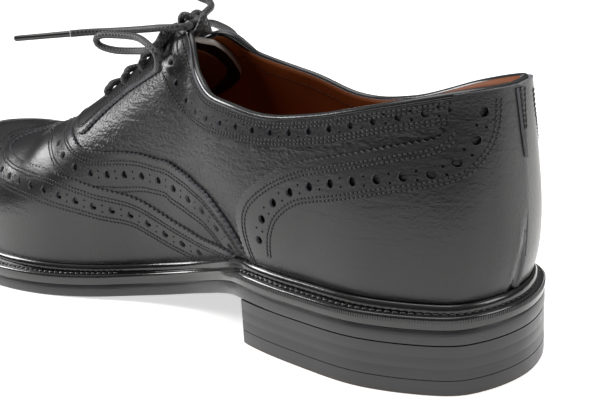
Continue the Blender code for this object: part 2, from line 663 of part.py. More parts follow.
def tongue():
    """The tongue under the facings, from under the vamp to just below the top of the facings."""
    bm = bmesh.new()
    below = UPPER_WALL + TONGUE_GAP
    rows = []
    for row in TONGUE:
        line = []
        for side, lowest in ((1, row.inner), (-1, row.outer)):
            shares = np.linspace(lowest, 1.0, TONGUE_STEPS)
            at = upper_point(row.section, shares, side) - upper_normal(row.section, shares, side) * below
            line.append(at)
        inner, outer = line
        middle = (inner[-1] + outer[-1]) / 2
        if row.section >= THROAT:
            inner[-1] = outer[-1] = middle
        rows.append([bm.verts.new(point) for point in (*inner, middle, *outer[::-1])])
    for here, after in zip(rows, rows[1:]):
        for j in range(len(here) - 1):
            bm.faces.new((here[j], here[j + 1], after[j + 1], after[j]))
    bmesh.ops.remove_doubles(bm, verts=bm.verts[:], dist=0.00002)
    bmesh.ops.recalc_face_normals(bm, faces=bm.faces[:])
    if sum(face.normal.z for face in bm.faces) < 0:
        bmesh.ops.reverse_faces(bm, faces=bm.faces[:])
    mesh = bpy.data.meshes.new("tongue")
    bm.to_mesh(mesh)
    bm.free()
    obj = link("tongue", mesh, calf)
    add_wall(obj, TONGUE_THICKNESS, -1.0)
    return obj


def cord(name, points, diameter, finish):
    """A round lace through points read from a smooth curve, with flat ends."""
    curve = bpy.data.curves.new(name, "CURVE")
    curve.dimensions = "3D"
    curve.bevel_depth = diameter / 2
    curve.bevel_resolution = 2
    curve.use_fill_caps = True
    line = curve.splines.new("POLY")
    line.points.add(len(points) - 1)
    for spot, point in zip(line.points, points):
        spot.co = (*point, 1.0)
    obj = bpy.data.objects.new(name, curve)
    curve.materials.append(finish)
    shoe.objects.link(obj)
    obj.parent = centre
    return obj


def read_route(route, spacing):
    """Points at an even spacing on the smooth curve through a route's own points."""
    fine = spline(route, np.linspace(0, len(route) - 1, 40 * (len(route) - 1) + 1))
    reach = np.concatenate([[0], np.cumsum(np.linalg.norm(np.diff(fine, axis=0), axis=1))])
    count = max(2, int(math.ceil(reach[-1] / spacing)) + 1)
    at = np.linspace(0, reach[-1], count)
    return np.column_stack([np.interp(at, reach, fine[:, axis]) for axis in range(3)])


def lace_bars():
    """The lace across the throat, a bar from each hole to the one opposite."""
    height = OVERLAY_GAP + OVERLAY_THICKNESS + CLEARANCE + LACE_DIAMETER / 2
    pairs = zip(eyelet_places(1), eyelet_places(-1))
    for number, (inner, outer) in enumerate(pairs, 1):
        route = []
        for u, v, side in ((inner[0], inner[1], 1), (inner[0], (1 + inner[1]) / 2, 1), (inner[0], 1.0, 1)):
            route.append(upper_point(u, v, side) + upper_normal(u, v, side) * height)
        back = []
        for u, v, side in ((outer[0], outer[1], -1), (outer[0], (1 + outer[1]) / 2, -1), (outer[0], 1.0, -1)):
            back.append(upper_point(u, v, side) + upper_normal(u, v, side) * height)
        route = [*route, *reversed(back)]
        cord(f"lace_bar_{number}", read_route(np.array(route), BAR_SPACING), LACE_DIAMETER, waxed_cord)


def at_knot(point):
    """The place just outside the knot on the way from its middle to a point, in millimetres."""
    middle = np.array(KNOT_CENTRE)
    away = np.array(point) - middle
    size = np.linalg.norm(away / np.array(KNOT_RADII))
    return middle + away / size + away / np.linalg.norm(away) * KNOT_GAP / MILLIMETRE


def lace_knot():
    """The knot on the top bar."""
    bm = bmesh.new()
    bmesh.ops.create_uvsphere(bm, u_segments=14, v_segments=9, radius=1.0)
    place = Vector(KNOT_CENTRE) * MILLIMETRE
    for vert in bm.verts:
        vert.co = Vector([a * b * MILLIMETRE for a, b in zip(vert.co, KNOT_RADII)]) + place
    return link("lace_knot", finish_mesh(bm, "lace_knot"), waxed_cord)


def free_laces():
    """The two loops, the two ends and their tips."""
    for name, route in (("lace_loop_inner", NEAR_LOOP), ("lace_loop_outer", FAR_LOOP)):
        last = route[-1] if name == "lace_loop_inner" else at_knot(route[-1])
        route = [at_knot(route[0]), *route[1:-1], last]
        points = read_route(np.array(route) * MILLIMETRE, LOOP_SPACING)
        cord(name, points, LACE_DIAMETER, waxed_cord)
    for name, route in (("inner", NEAR_END), ("outer", FAR_END)):
        route = [at_knot(route[0]), *route[1:]]
        points = read_route(np.array(route) * MILLIMETRE, BAR_SPACING)
        cord(f"lace_end_{name}", points, LACE_DIAMETER, waxed_cord)
        ahead = points[-1] - points[-2]
        ahead /= np.linalg.norm(ahead)
        start = points[-1] + ahead * CLEARANCE
        cord(f"aglet_{name}", [start, start + ahead * AGLET_LENGTH], AGLET_DIAMETER, tip_plastic)


for item in list(bpy.data.objects):
    bpy.data.objects.remove(item, do_unlink=True)

shoe = bpy.data.collections.new("wingtip_shoe")
bpy.context.scene.collection.children.link(shoe)
cutters = bpy.data.collections.new("cutters")
bpy.context.scene.collection.children.link(cutters)
centre = bpy.data.objects.new("shoe_frame", None)
centre.location = (-HEEL_CENTRE, 0.0, 0.0)
shoe.objects.link(centre)
bpy.context.view_layer.update()

calf = material("black_calf", (0.012, 0.012, 0.013), 0.34)
calf_cap = material("polished_black_calf", (0.010, 0.010, 0.011), 0.24)
lining = material("tan_lining", (0.42, 0.19, 0.08), 0.6)
sole_leather = material("black_outsole", (0.016, 0.014, 0.013), 0.4)
edge_black = material("black_welt", (0.012, 0.011, 0.011), 0.32)
top_piece_rubber = material("heel_rubber", (0.014, 0.013, 0.012), 0.6)
waxed_cord = material("waxed_cord", (0.015, 0.015, 0.016), 0.45)
tip_plastic = material("black_tip", (0.01, 0.01, 0.01), 0.2)

outsole()
welt()
heel_block("heel_stack", TOP_PIECE_THICKNESS + CLEARANCE, HEEL_RISE - CLEARANCE, HEEL_INSET / 2, HEEL_INSET, sole_leather)
heel_block("top_piece", 0.0, TOP_PIECE_THICKNESS, 0.0, HEEL_INSET / 2, top_piece_rubber)
insole()
pins = eyelet_cutter()
punch(upper_shell(), pins)
tongue()
wing_cap()
vamp()
heel_counter()
backstay()
for side, word in ((1, "inner"), (-1, "outer")):
    collar_band(f"collar_band_{word}", side)
    punch(facing(f"facing_{word}", side), pins)
lace_bars()
lace_knot()
free_laces()
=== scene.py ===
"""Looks of the right-foot wingtip shoe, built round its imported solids.

Everything is in metres in the part's own frame: +X to the toe, +Y to the inner side, +Z up. The shoe's form is
worked out in stations measured from the back of the heel, and moved by the heel's centre when it is placed.
"""

import logging
import math
from collections.abc import Callable
from dataclasses import dataclass, field
from enum import Enum

import bmesh
import bpy
import numpy as np
from mathutils import Matrix, Vector


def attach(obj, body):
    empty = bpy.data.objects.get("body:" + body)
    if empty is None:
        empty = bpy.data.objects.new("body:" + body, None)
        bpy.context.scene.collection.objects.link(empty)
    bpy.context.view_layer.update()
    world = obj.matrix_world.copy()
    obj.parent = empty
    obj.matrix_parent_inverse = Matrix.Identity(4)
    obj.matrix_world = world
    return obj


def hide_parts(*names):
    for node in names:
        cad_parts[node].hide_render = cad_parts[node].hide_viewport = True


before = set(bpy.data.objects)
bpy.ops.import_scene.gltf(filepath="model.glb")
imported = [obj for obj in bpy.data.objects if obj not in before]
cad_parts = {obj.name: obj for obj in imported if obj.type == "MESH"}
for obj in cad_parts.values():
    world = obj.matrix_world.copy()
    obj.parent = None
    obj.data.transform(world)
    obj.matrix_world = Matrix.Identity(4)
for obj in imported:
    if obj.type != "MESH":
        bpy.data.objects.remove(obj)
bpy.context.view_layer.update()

log = logging.getLogger("wingtip")
MM = 0.001
# Vertices nearer than this are one.
MERGE = 0.00001

# The edge of the sole in plan: inner x, inner y, outer x, outer y, as shares of the length and the ball width.
SOLE_EDGE = (
    (0.000, 0.000, 0.000, 0.000), (0.012, 0.158, 0.012, -0.158), (0.042, 0.262, 0.042, -0.262),
    (0.118, 0.341, 0.118, -0.338), (0.198, 0.340, 0.198, -0.338), (0.275, 0.312, 0.275, -0.333),
    (0.333, 0.250, 0.330, -0.338), (0.400, 0.222, 0.388, -0.362), (0.474, 0.262, 0.452, -0.413),
    (0.545, 0.346, 0.519, -0.480), (0.615, 0.415, 0.583, -0.533), (0.683, 0.440, 0.647, -0.560),
    (0.756, 0.420, 0.724, -0.538), (0.835, 0.358, 0.808, -0.452), (0.902, 0.288, 0.890, -0.345),
    (0.953, 0.208, 0.950, -0.236), (0.986, 0.118, 0.985, -0.128), (1.000, 0.000, 1.000, 0.000),
)
# How each section of the upper climbs: top x, centre, half gap, top z, outer drop, rise, inner and outer bulge,
# inner and outer lean, drop.
SECTIONS = (
    (0.0150, 0.000, 0.000, 0.752, 0.000, 0.20, 0.100, 0.100, 0.016, 0.016, 0.36),
    (0.0200, 0.000, 0.090, 0.754, 0.000, 0.20, 0.098, 0.098, 0.014, 0.012, 0.36),
    (0.0420, 0.000, 0.166, 0.747, 0.006, 0.22, 0.090, 0.090, 0.014, 0.012, 0.36),
    (0.1000, 0.000, 0.236, 0.712, 0.020, 0.29, 0.070, 0.074, 0.022, 0.024, 0.36),
    (0.1850, 0.004, 0.256, 0.655, 0.044, 0.36, 0.066, 0.062, 0.030, 0.034, 0.36),
    (0.2620, 0.010, 0.250, 0.637, 0.030, 0.44, 0.098, 0.064, 0.030, 0.036, 0.34),
    (0.3260, 0.020, 0.215, 0.704, -0.020, 0.52, 0.136, 0.070, 0.034, 0.046, 0.32),
    (0.3680, 0.030, 0.150, 0.815, -0.020, 0.52, 0.136, 0.074, 0.050, 0.080, 0.26),
    (0.4060, 0.038, 0.075, 0.995, 0.030, 0.48, 0.100, 0.072, 0.110, 0.180, 0.12),
    (0.4850, 0.042, 0.050, 0.890, 0.006, 0.48, 0.068, 0.066, 0.140, 0.220, 0.08),
    (0.5650, 0.045, 0.034, 0.760, 0.000, 0.52, 0.052, 0.056, 0.170, 0.250, 0.06),
    (0.6450, 0.048, 0.000, 0.625, 0.000, 0.58, 0.046, 0.050, 0.200, 0.290, 0.00),
    (0.7160, 0.048, 0.000, 0.545, 0.000, 0.62, 0.044, 0.046, 0.210, 0.290, 0.00),
    (0.7900, 0.044, 0.000, 0.526, 0.000, 0.66, 0.044, 0.044, 0.190, 0.250, 0.00),
    (0.8500, 0.038, 0.000, 0.478, 0.000, 0.70, 0.044, 0.044, 0.150, 0.190, 0.00),
    (0.8930, 0.030, 0.000, 0.405, 0.000, 0.74, 0.044, 0.044, 0.110, 0.130, 0.00),
    (0.9160, 0.022, 0.000, 0.350, 0.000, 0.76, 0.044, 0.044, 0.090, 0.096, 0.02),
    (0.9240, 0.018, 0.000, 0.330, 0.000, 0.78, 0.044, 0.044, 0.080, 0.080, 0.03),
)
# The outsole's underside: station, share of the heel's rise, share of the toe spring.
ARCH = (
    (0.000, 1.00, 0.0), (0.080, 1.00, 0.0), (0.160, 1.00, 0.0), (0.220, 1.00, 0.0), (0.287, 1.00, 0.0),
    (0.332, 0.80, 0.0), (0.375, 0.56, 0.0), (0.430, 0.31, 0.0), (0.490, 0.13, 0.0), (0.550, 0.03, 0.0),
    (0.600, 0.00, 0.0), (0.660, 0.00, 0.0), (0.720, 0.00, 0.0), (0.790, 0.00, 0.11), (0.860, 0.00, 0.32),
    (0.930, 0.00, 0.62), (1.000, 0.00, 1.00),
)
# Sewn edges on the upper, as (section, share of the way up), and the counter's and collar's rows of holes.
WING_EDGE = (
    (5.90, 0.085), (6.65, 0.145), (7.05, 0.185), (7.45, 0.215), (7.90, 0.245), (8.40, 0.285), (9.10, 0.35),
    (9.80, 0.42), (10.25, 0.465), (10.70, 0.505), (11.15, 0.55), (11.60, 0.62), (11.93, 0.69), (12.06, 0.76),
    (12.02, 0.85), (11.88, 0.93), (11.60, 1.00),
)
VAMP_EDGE = (
    (5.20, 0.08), (5.45, 0.13), (5.70, 0.24), (5.98, 0.33), (6.22, 0.385), (6.60, 0.42), (6.95, 0.44),
    (7.38, 0.43), (7.78, 0.40), (8.20, 0.41), (8.65, 0.445), (9.10, 0.48), (9.42, 0.51), (9.68, 0.555),
    (9.95, 0.625), (10.22, 0.70), (10.40, 0.79), (10.58, 0.89), (10.82, 0.96), (11.02, 1.00),
)
COUNTER_EDGE = (
    (5.12, 0.02), (5.18, 0.18), (5.16, 0.34), (5.02, 0.48), (4.84, 0.57), (4.60, 0.66), (4.36, 0.72),
    (4.10, 0.76), (3.85, 0.78), (3.35, 0.80), (2.85, 0.82), (2.50, 0.83), (2.25, 0.84), (2.10, 0.89),
    (2.04, 0.985),
)
COUNTER_HOLES = (
    (4.75, 0.20), (4.70, 0.31), (4.60, 0.43), (4.40, 0.54), (4.15, 0.61), (3.85, 0.65), (3.55, 0.67),
    (3.25, 0.68), (2.90, 0.69), (2.60, 0.70), (2.20, 0.71), (1.90, 0.75), (1.55, 0.82), (1.35, 0.92),
)
COUNTER_INNER = (
    (4.60, 0.19), (4.55, 0.31), (4.45, 0.42), (4.30, 0.50), (4.10, 0.56), (3.85, 0.59), (3.50, 0.61),
    (3.20, 0.63), (2.90, 0.65), (2.25, 0.68), (1.80, 0.71), (1.45, 0.76), (1.20, 0.81), (1.05, 0.87),
    (1.00, 0.95),
)
COLLAR_TOP_HOLES = ((7.45, 0.76), (7.75, 0.75), (7.95, 0.79))
COLLAR_EDGE = (
    (2.15, 0.885), (2.85, 0.88), (3.45, 0.865), (4.15, 0.85), (4.95, 0.83), (5.60, 0.80), (6.15, 0.785),
    (6.65, 0.765), (7.10, 0.735), (7.45, 0.69), (7.68, 0.67), (7.88, 0.69), (8.06, 0.735),
)
FACING_EDGE = (
    (8.14, 0.765), (8.45, 0.765), (8.90, 0.785), (9.20, 0.77), (9.45, 0.735), (9.62, 0.69), (9.76, 0.64),
    (9.93, 0.665), (10.14, 0.72), (10.31, 0.80), (10.49, 0.90), (10.68, 0.955), (10.78, 0.985),
)
BACKSTAY_EDGE = ((0.0, 0.72), (0.08, 0.77), (0.14, 0.83), (0.20, 0.91), (0.27, 0.985))
# The tongue: section, lowest share on the inner and on the outer side.
TONGUE = (
    (11.60, 0.900, 0.900), (11.20, 0.830, 0.830), (10.80, 0.790, 0.790), (10.40, 0.760, 0.760),
    (10.00, 0.730, 0.730), (9.60, 0.710, 0.710), (9.20, 0.690, 0.690), (8.80, 0.680, 0.680),
    (8.50, 0.690, 0.680), (8.28, 0.740, 0.690), (8.16, 0.800, 0.705), (8.08, 0.880, 0.730),
)
TIP = len(SOLE_EDGE) - 1
THROAT = 11
# Soft folds: side, section and share at each end, depth in mm (below zero for a ridge), half
# width in mm.
FOLDS = (
    (1, 10.9, 0.96, 10.1, 0.42, 0.55, 4.5),
    (1, 11.6, 0.97, 11.0, 0.55, 0.60, 5.0),
    (1, 11.25, 0.97, 10.55, 0.50, -0.45, 4.5),
    (-1, 10.9, 0.96, 10.2, 0.42, 0.55, 4.5),
    (-1, 11.6, 0.97, 11.1, 0.50, 0.60, 5.0),
    (-1, 11.25, 0.97, 10.6, 0.46, -0.45, 4.5),
    (1, 0.26, 0.03, 0.04, 0.46, 0.60, 1.7),
    (1, 0.10, 0.02, 0.01, 0.40, -0.30, 2.2),
)


class Side(Enum):
    """The two sides of the shoe."""

    INNER = 1
    OUTER = -1


def spline(rows: object, at: object) -> np.ndarray:
    """A smooth curve through evenly numbered rows.

    Args:
        rows: the rows of numbers that the curve passes.
        at: the places to read, counted in rows.

    Returns:
        One row of numbers for each place.
    """
    rows = np.asarray(rows, float)
    at = np.clip(np.asarray(at, float), 0, len(rows) - 1)
    low = np.minimum(at.astype(int), len(rows) - 2)
    share = (at - low)[..., None]
    before = rows[np.maximum(low - 1, 0)]
    start = rows[low]
    end = rows[low + 1]
    after = rows[np.minimum(low + 2, len(rows) - 1)]
    return 0.5 * (
        2 * start
        + (end - before) * share
        + (2 * before - 5 * start + 4 * end - after) * share**2
        + (3 * start - before - 3 * end + after) * share**3
    )


def unit(vectors: np.ndarray) -> np.ndarray:
    """The same directions with length one."""
    return vectors / np.linalg.norm(vectors, axis=-1, keepdims=True)


def reach_of(points: np.ndarray) -> np.ndarray:
    """How far along its line each point lies."""
    return np.concatenate([[0], np.cumsum(np.linalg.norm(np.diff(points, axis=0), axis=1))])


def read_at(at: np.ndarray, reach: np.ndarray, rows: np.ndarray) -> np.ndarray:
    """Rows of numbers read at chosen distances along their line."""
    return np.column_stack([np.interp(at, reach, rows[:, axis]) for axis in range(rows.shape[1])])


def even(points: np.ndarray, step: float) -> np.ndarray:
    """Points at an even spacing on a smooth curve through chosen points.

    Args:
        points: the chosen points, in metres.
        step: the spacing wanted.

    Returns:
        The evenly spaced points.
    """
    fine = spline(points, np.linspace(0, len(points) - 1, 30 * (len(points) - 1) + 1))
    reach = reach_of(fine)
    at = np.linspace(0, reach[-1], max(3, math.ceil(reach[-1] / step) + 1))
    return read_at(at, reach, fine)


@dataclass(frozen=True)
class ShoeForm:
    """The surfaces that every piece is laid on. Lengths in metres."""

    length: float = 0.312
    ball_width: float = 0.107
    upper_height: float = 0.090
    heel_rise: float = 0.016
    toe_spring: float = 0.013
    heel_centre: float = 0.043
    outsole: float = 0.005
    welt_reach: float = 0.0088
    upper_seat: float = 0.0006
    flat_u: float = 18.0
    flat_v: float = 78.0

    def underside(self, x: np.ndarray) -> np.ndarray:
        """Height of the outsole's underside at stations x."""
        rows = [(s * self.length, rise * self.heel_rise + spring * self.toe_spring) for s, rise, spring in ARCH]
        curve = spline(rows, np.linspace(0, len(ARCH) - 1, 12 * (len(ARCH) - 1) + 1))
        return np.interp(x, curve[:, 0], np.maximum(curve[:, 1], 0))

    def edge(self, u: np.ndarray, side: int, inset: float = 0.0) -> tuple[np.ndarray, np.ndarray]:
        """Points of the sole's edge and the outward direction there.

        Args:
            u: sections.
            side: 1 for the inner side, -1 for the outer side.
            inset: how far inside the edge, in metres.

        Returns:
            The points in plan and the outward directions in plan.
        """
        inner = [(row[0] * self.length, row[1] * self.ball_width) for row in SOLE_EDGE]
        outer = [(row[2] * self.length, row[3] * self.ball_width) for row in SOLE_EDGE]
        ring = np.array(inner + outer[-2:0:-1])
        wrapped = np.concatenate([ring[-3:], ring, ring[:4]])
        u = np.asarray(u, float)
        place = (u if side > 0 else np.mod(len(ring) - u, len(ring))) + 3
        step = 0.02
        ahead = unit(spline(wrapped, place + step) - spline(wrapped, place - step))
        out = np.stack([-ahead[..., 1], ahead[..., 0]], -1)
        return spline(wrapped, place) - out * inset, out

    def point(self, u: np.ndarray, v: np.ndarray, side: int) -> np.ndarray:
        """The outside of the upper at section u and share v, in station coordinates."""
        u, v = np.broadcast_arrays(np.asarray(u, float), np.asarray(v, float))
        row = np.moveaxis(spline(SECTIONS, u), -1, 0)
        top_x, centre, gap, top_z, outer_drop, rise, bulge_in, bulge_out, lean_in, lean_out, drop = row
        foot_xy, out_xy = self.edge(u, side, self.welt_reach)
        seat = self.underside(foot_xy[..., 0]) + self.outsole + self.upper_seat
        foot = np.stack([foot_xy[..., 0], foot_xy[..., 1], seat], -1)
        out = np.stack([out_xy[..., 0], out_xy[..., 1], np.zeros_like(u)], -1)
        up = np.array([0.0, 0.0, 1.0])
        top_x = top_x * self.length
        top_y = (centre + side * np.maximum(gap, 0)) * self.ball_width
        lower = outer_drop if side < 0 else 0.0
        top_z = self.underside(top_x) + self.outsole + (top_z - lower) * self.upper_height
        top = np.stack([top_x, top_y, top_z], -1)
        height = (top - foot)[..., 2:]
        bulge = (bulge_in if side > 0 else bulge_out)[..., None] * self.ball_width
        lean = (lean_in if side > 0 else lean_out)[..., None] * self.ball_width
        low_hand = foot + out * bulge + up * height * rise[..., None]
        high_hand = top + out * lean - up * height * drop[..., None]
        v = v[..., None]
        rest = 1 - v
        return rest**3 * foot + 3 * rest**2 * v * low_hand + 3 * rest * v**2 * high_hand + v**3 * top

    def across(self, surface: Callable, u: np.ndarray, v: np.ndarray, side: int) -> np.ndarray:
        """The way across a surface, from short steps along and up it, of no set length."""
        step = 0.01
        below = np.minimum(v, 0.96)
        along = surface(np.minimum(u + step, TIP), below, side)
        along = along - surface(np.maximum(u - step, 0), below, side)
        climb = surface(u, np.minimum(v + step, 1), side) - surface(u, np.maximum(v - step, 0), side)
        return np.cross(climb, along) * side

    def normal(self, u: np.ndarray, v: np.ndarray, side: int) -> np.ndarray:
        """The outward direction of the upper's surface."""
        u, v = np.broadcast_arrays(np.asarray(u, float), np.asarray(v, float))
        normal = self.across(self.point, u, v, side)
        middle = (u <= 0) | (u >= TIP) | ((v >= 1) & (u >= THROAT))
        normal[..., 1] = np.where(middle, 0.0, normal[..., 1])
        return unit(normal)

    def relief(self, u: np.ndarray, v: np.ndarray, side: int) -> np.ndarray:
        """How far the soft folds push the leather out, in metres."""
        x, y = u * self.flat_u, v * self.flat_v
        push = np.zeros_like(x)
        for fold_side, u0, v0, u1, v1, depth, width in FOLDS:
            if fold_side != side:
                continue
            start = np.array([u0 * self.flat_u, v0 * self.flat_v])
            way = np.array([u1 * self.flat_u, v1 * self.flat_v]) - start
            size = np.linalg.norm(way)
            way = way / size
            run = ((x - start[0]) * way[0] + (y - start[1]) * way[1]) / size
            off = ((x - start[0]) * way[1] - (y - start[1]) * way[0]) / width
            fade = np.clip(np.minimum(run + 0.15, 1.15 - run) / 0.4, 0, 1)
            fade = fade * fade * (3 - 2 * fade)
            shape = np.exp(-(off**2)) - 0.35 * np.exp(-((np.abs(off) - 1.9) ** 2))
            push -= depth * MM * shape * fade
        return push

    def skin(self, u: np.ndarray, v: np.ndarray, side: int, height: float = 0.0) -> np.ndarray:
        """Points at a height over the upper, folds included, in the part's frame."""
        u, v = np.broadcast_arrays(np.asarray(u, float), np.asarray(v, float))
        lift = (height + self.relief(u, v, side))[..., None]
        return self.placed(self.point(u, v, side) + self.normal(u, v, side) * lift)

    def lit(self, u: np.ndarray, v: np.ndarray, side: int) -> np.ndarray:
        """The outward direction of the leather with its folds."""
        u, v = np.broadcast_arrays(np.asarray(u, float), np.asarray(v, float))
        normal = self.across(self.skin, u, v, side)
        middle = (u <= 0.001) | (u >= TIP - 0.001) | ((v >= 0.999) & (u >= THROAT))
        normal[..., 1] = np.where(middle, 0.0, normal[..., 1])
        return unit(normal)

    def placed(self, points: np.ndarray) -> np.ndarray:
        """Station coordinates moved into the part's frame."""
        return np.asarray(points, float) - np.array([self.heel_centre, 0.0, 0.0])

    def along(self, line: object, side: int, step: float) -> np.ndarray:
        """A seam line read at an even spacing on the leather.

        Args:
            line: chosen (section, share) points.
            side: the side of the shoe.
            step: the spacing in metres.

        Returns:
            Rows of (section, share).
        """
        line = np.asarray(line, float)
        fine = spline(line, np.linspace(0, len(line) - 1, 20 * (len(line) - 1) + 1))
        reach = reach_of(self.point(fine[:, 0], fine[:, 1], side))
        at = np.linspace(0, reach[-1], max(3, round(reach[-1] / step) + 1))
        return read_at(at, reach, fine)

    def shares(self, line: np.ndarray, side: int, ways: np.ndarray) -> np.ndarray:
        """Steps in metres along the leather, turned into steps of (section, share).

        Args:
            line: rows of (section, share) where the steps start.
            side: the side of the shoe.
            ways: the steps, as directions in space.

        Returns:
            Rows of (section, share) to add.
        """
        u, v = line[:, 0], line[:, 1]
        h = 0.01
        over = (self.point(u + h, v, side) - self.point(u - h, v, side)) / (2 * h)
        climb = (self.point(u, v + h, side) - self.point(u, v - h, side)) / (2 * h)
        a = (over * over).sum(-1)
        b = (over * climb).sum(-1)
        c = (climb * climb).sum(-1)
        p = (over * ways).sum(-1)
        q = (climb * ways).sum(-1)
        det = a * c - b * b
        return np.column_stack([(c * p - b * q) / det, (a * q - b * p) / det])

    def left(self, line: np.ndarray, side: int) -> np.ndarray:
        """Directions on the leather to the left of a line, as the shoe is seen from its inner side."""
        place = self.point(line[:, 0], line[:, 1], side)
        ahead = unit(np.gradient(place, axis=0))
        return -side * unit(np.cross(self.normal(line[:, 0], line[:, 1], side), ahead))

    def beside(self, line: np.ndarray, side: int, distance: object) -> np.ndarray:
        """A line moved to its left by a distance on the leather, in metres."""
        ways = self.left(line, side) * np.broadcast_to(distance, len(line))[:, None]
        return line + self.shares(line, side, ways)

    def ring(self, spot: np.ndarray, side: int, radius: float, count: int) -> np.ndarray:
        """A round hole's rim on the leather, as rows of (section, share)."""
        turn = np.linspace(0, 2 * math.pi, count, endpoint=False)
        line = np.tile(spot, (count, 1))
        normal = self.normal(spot[0], spot[1], side)
        first = unit(np.cross(normal, [0.0, 0.3, 1.0]))
        second = np.cross(normal, first)
        ways = (np.cos(turn)[:, None] * first + np.sin(turn)[:, None] * second) * radius
        return line + self.shares(line, side, ways)


FORM = ShoeForm()


def linear(colour: str) -> tuple[float, float, float, float]:
    """An sRGB hex colour as linear red, green, blue and alpha."""
    channels = [int(colour[k : k + 2], 16) / 255 for k in (1, 3, 5)]
    return (*(c / 12.92 if c <= 0.04045 else ((c + 0.055) / 1.055) ** 2.4 for c in channels), 1.0)


def feed(tree: bpy.types.NodeTree, node: bpy.types.Node, values: dict | None, links: dict | None) -> None:
    """Set a node's socket values and link the sockets that feed its inputs."""
    for key, value in (values or {}).items():
        node.inputs[key].default_value = value
    for key, socket in (links or {}).items():
        tree.links.new(socket, node.inputs[key])


def add_node(tree: bpy.types.NodeTree, kind: str, values: dict | None = None, links: dict | None = None,
             **settings: object) -> bpy.types.Node:
    """Add a node with its settings, socket values and incoming links.

    Args:
        tree: the material's node tree.
        kind: the node's type.
        values: socket values by socket name or number.
        links: the sockets that feed this node's inputs.
        **settings: the node's own properties.

    Returns:
        The new node.
    """
    node = tree.nodes.new(kind)
    for key, value in settings.items():
        setattr(node, key, value)
    feed(tree, node, values, links)
    return node


def new_material(name: str) -> tuple[bpy.types.Material, bpy.types.NodeTree, bpy.types.Node]:
    """A material with its tree and its Principled node."""
    made = bpy.data.materials.new(name)
    made.use_nodes = True
    return made, made.node_tree, made.node_tree.nodes["Principled BSDF"]


@dataclass(frozen=True)
class Leather:
    """Tanned leather: cell-like grain, drawn-out wrinkles and a wax or dye coat. Sizes in millimetres."""

    name: str
    colour: str
    worn: str
    roughness: float
    roughness_spread: float = 0.10
    coat: float = 0.0
    coat_roughness: float = 0.2
    grain: float = 0.9
    grain_depth: float = 0.05
    wrinkle: float = 3.0
    wrinkle_depth: float = 0.10
    wrinkle_stretch: tuple[float, float, float] = (0.35, 0.8, 1.6)
    swell: float = 34.0
    swell_depth: float = 0.0
    blotch: float = 22.0
    ior: float = 1.45

    def build(self) -> bpy.types.Material:
        """The material with its grain, wrinkles and wear."""
        made, tree, shader = new_material(self.name)
        place = add_node(tree, "ShaderNodeTexCoord").outputs["Object"]
        cells = add_node(tree, "ShaderNodeTexVoronoi", {"Scale": 1000 / self.grain, "Randomness": 1.0},
                         {"Vector": place}, feature="SMOOTH_F1")
        drawn = add_node(tree, "ShaderNodeMapping", {"Scale": self.wrinkle_stretch}, {"Vector": place})
        wrinkles = add_node(tree, "ShaderNodeTexNoise",
                            {"Scale": 1000 / self.wrinkle, "Detail": 3.0, "Roughness": 0.6, "Distortion": 0.6},
                            {"Vector": drawn.outputs["Vector"]})
        swell = add_node(tree, "ShaderNodeTexNoise", {"Scale": 1000 / self.swell, "Detail": 1.0},
                         {"Vector": place})
        broad = add_node(tree, "ShaderNodeTexNoise", {"Scale": 1000 / self.blotch, "Detail": 4.0},
                         {"Vector": place})
        tint = add_node(tree, "ShaderNodeMix", {6: linear(self.colour), 7: linear(self.worn)},
                        {0: broad.outputs["Fac"]}, data_type="RGBA")
        rough = add_node(tree, "ShaderNodeMapRange",
                         {"From Min": 0.3, "From Max": 0.7,
                          "To Min": self.roughness - self.roughness_spread / 2,
                          "To Max": self.roughness + self.roughness_spread / 2},
                         {"Value": broad.outputs["Fac"]})
        low = add_node(tree, "ShaderNodeBump", {"Strength": 1.0, "Distance": self.swell_depth * MM},
                       {"Height": swell.outputs["Fac"]})
        middle = add_node(tree, "ShaderNodeBump", {"Strength": 1.0, "Distance": self.wrinkle_depth * MM},
                          {"Height": wrinkles.outputs["Fac"], "Normal": low.outputs["Normal"]})
        fine = add_node(tree, "ShaderNodeBump", {"Strength": 1.0, "Distance": self.grain_depth * MM},
                        {"Height": cells.outputs["Distance"], "Normal": middle.outputs["Normal"]})
        feed(tree, shader, {"Coat Weight": self.coat, "Coat Roughness": self.coat_roughness, "IOR": self.ior},
             {"Base Color": tint.outputs[2], "Roughness": rough.outputs["Result"],
              "Normal": fine.outputs["Normal"]})
        return made


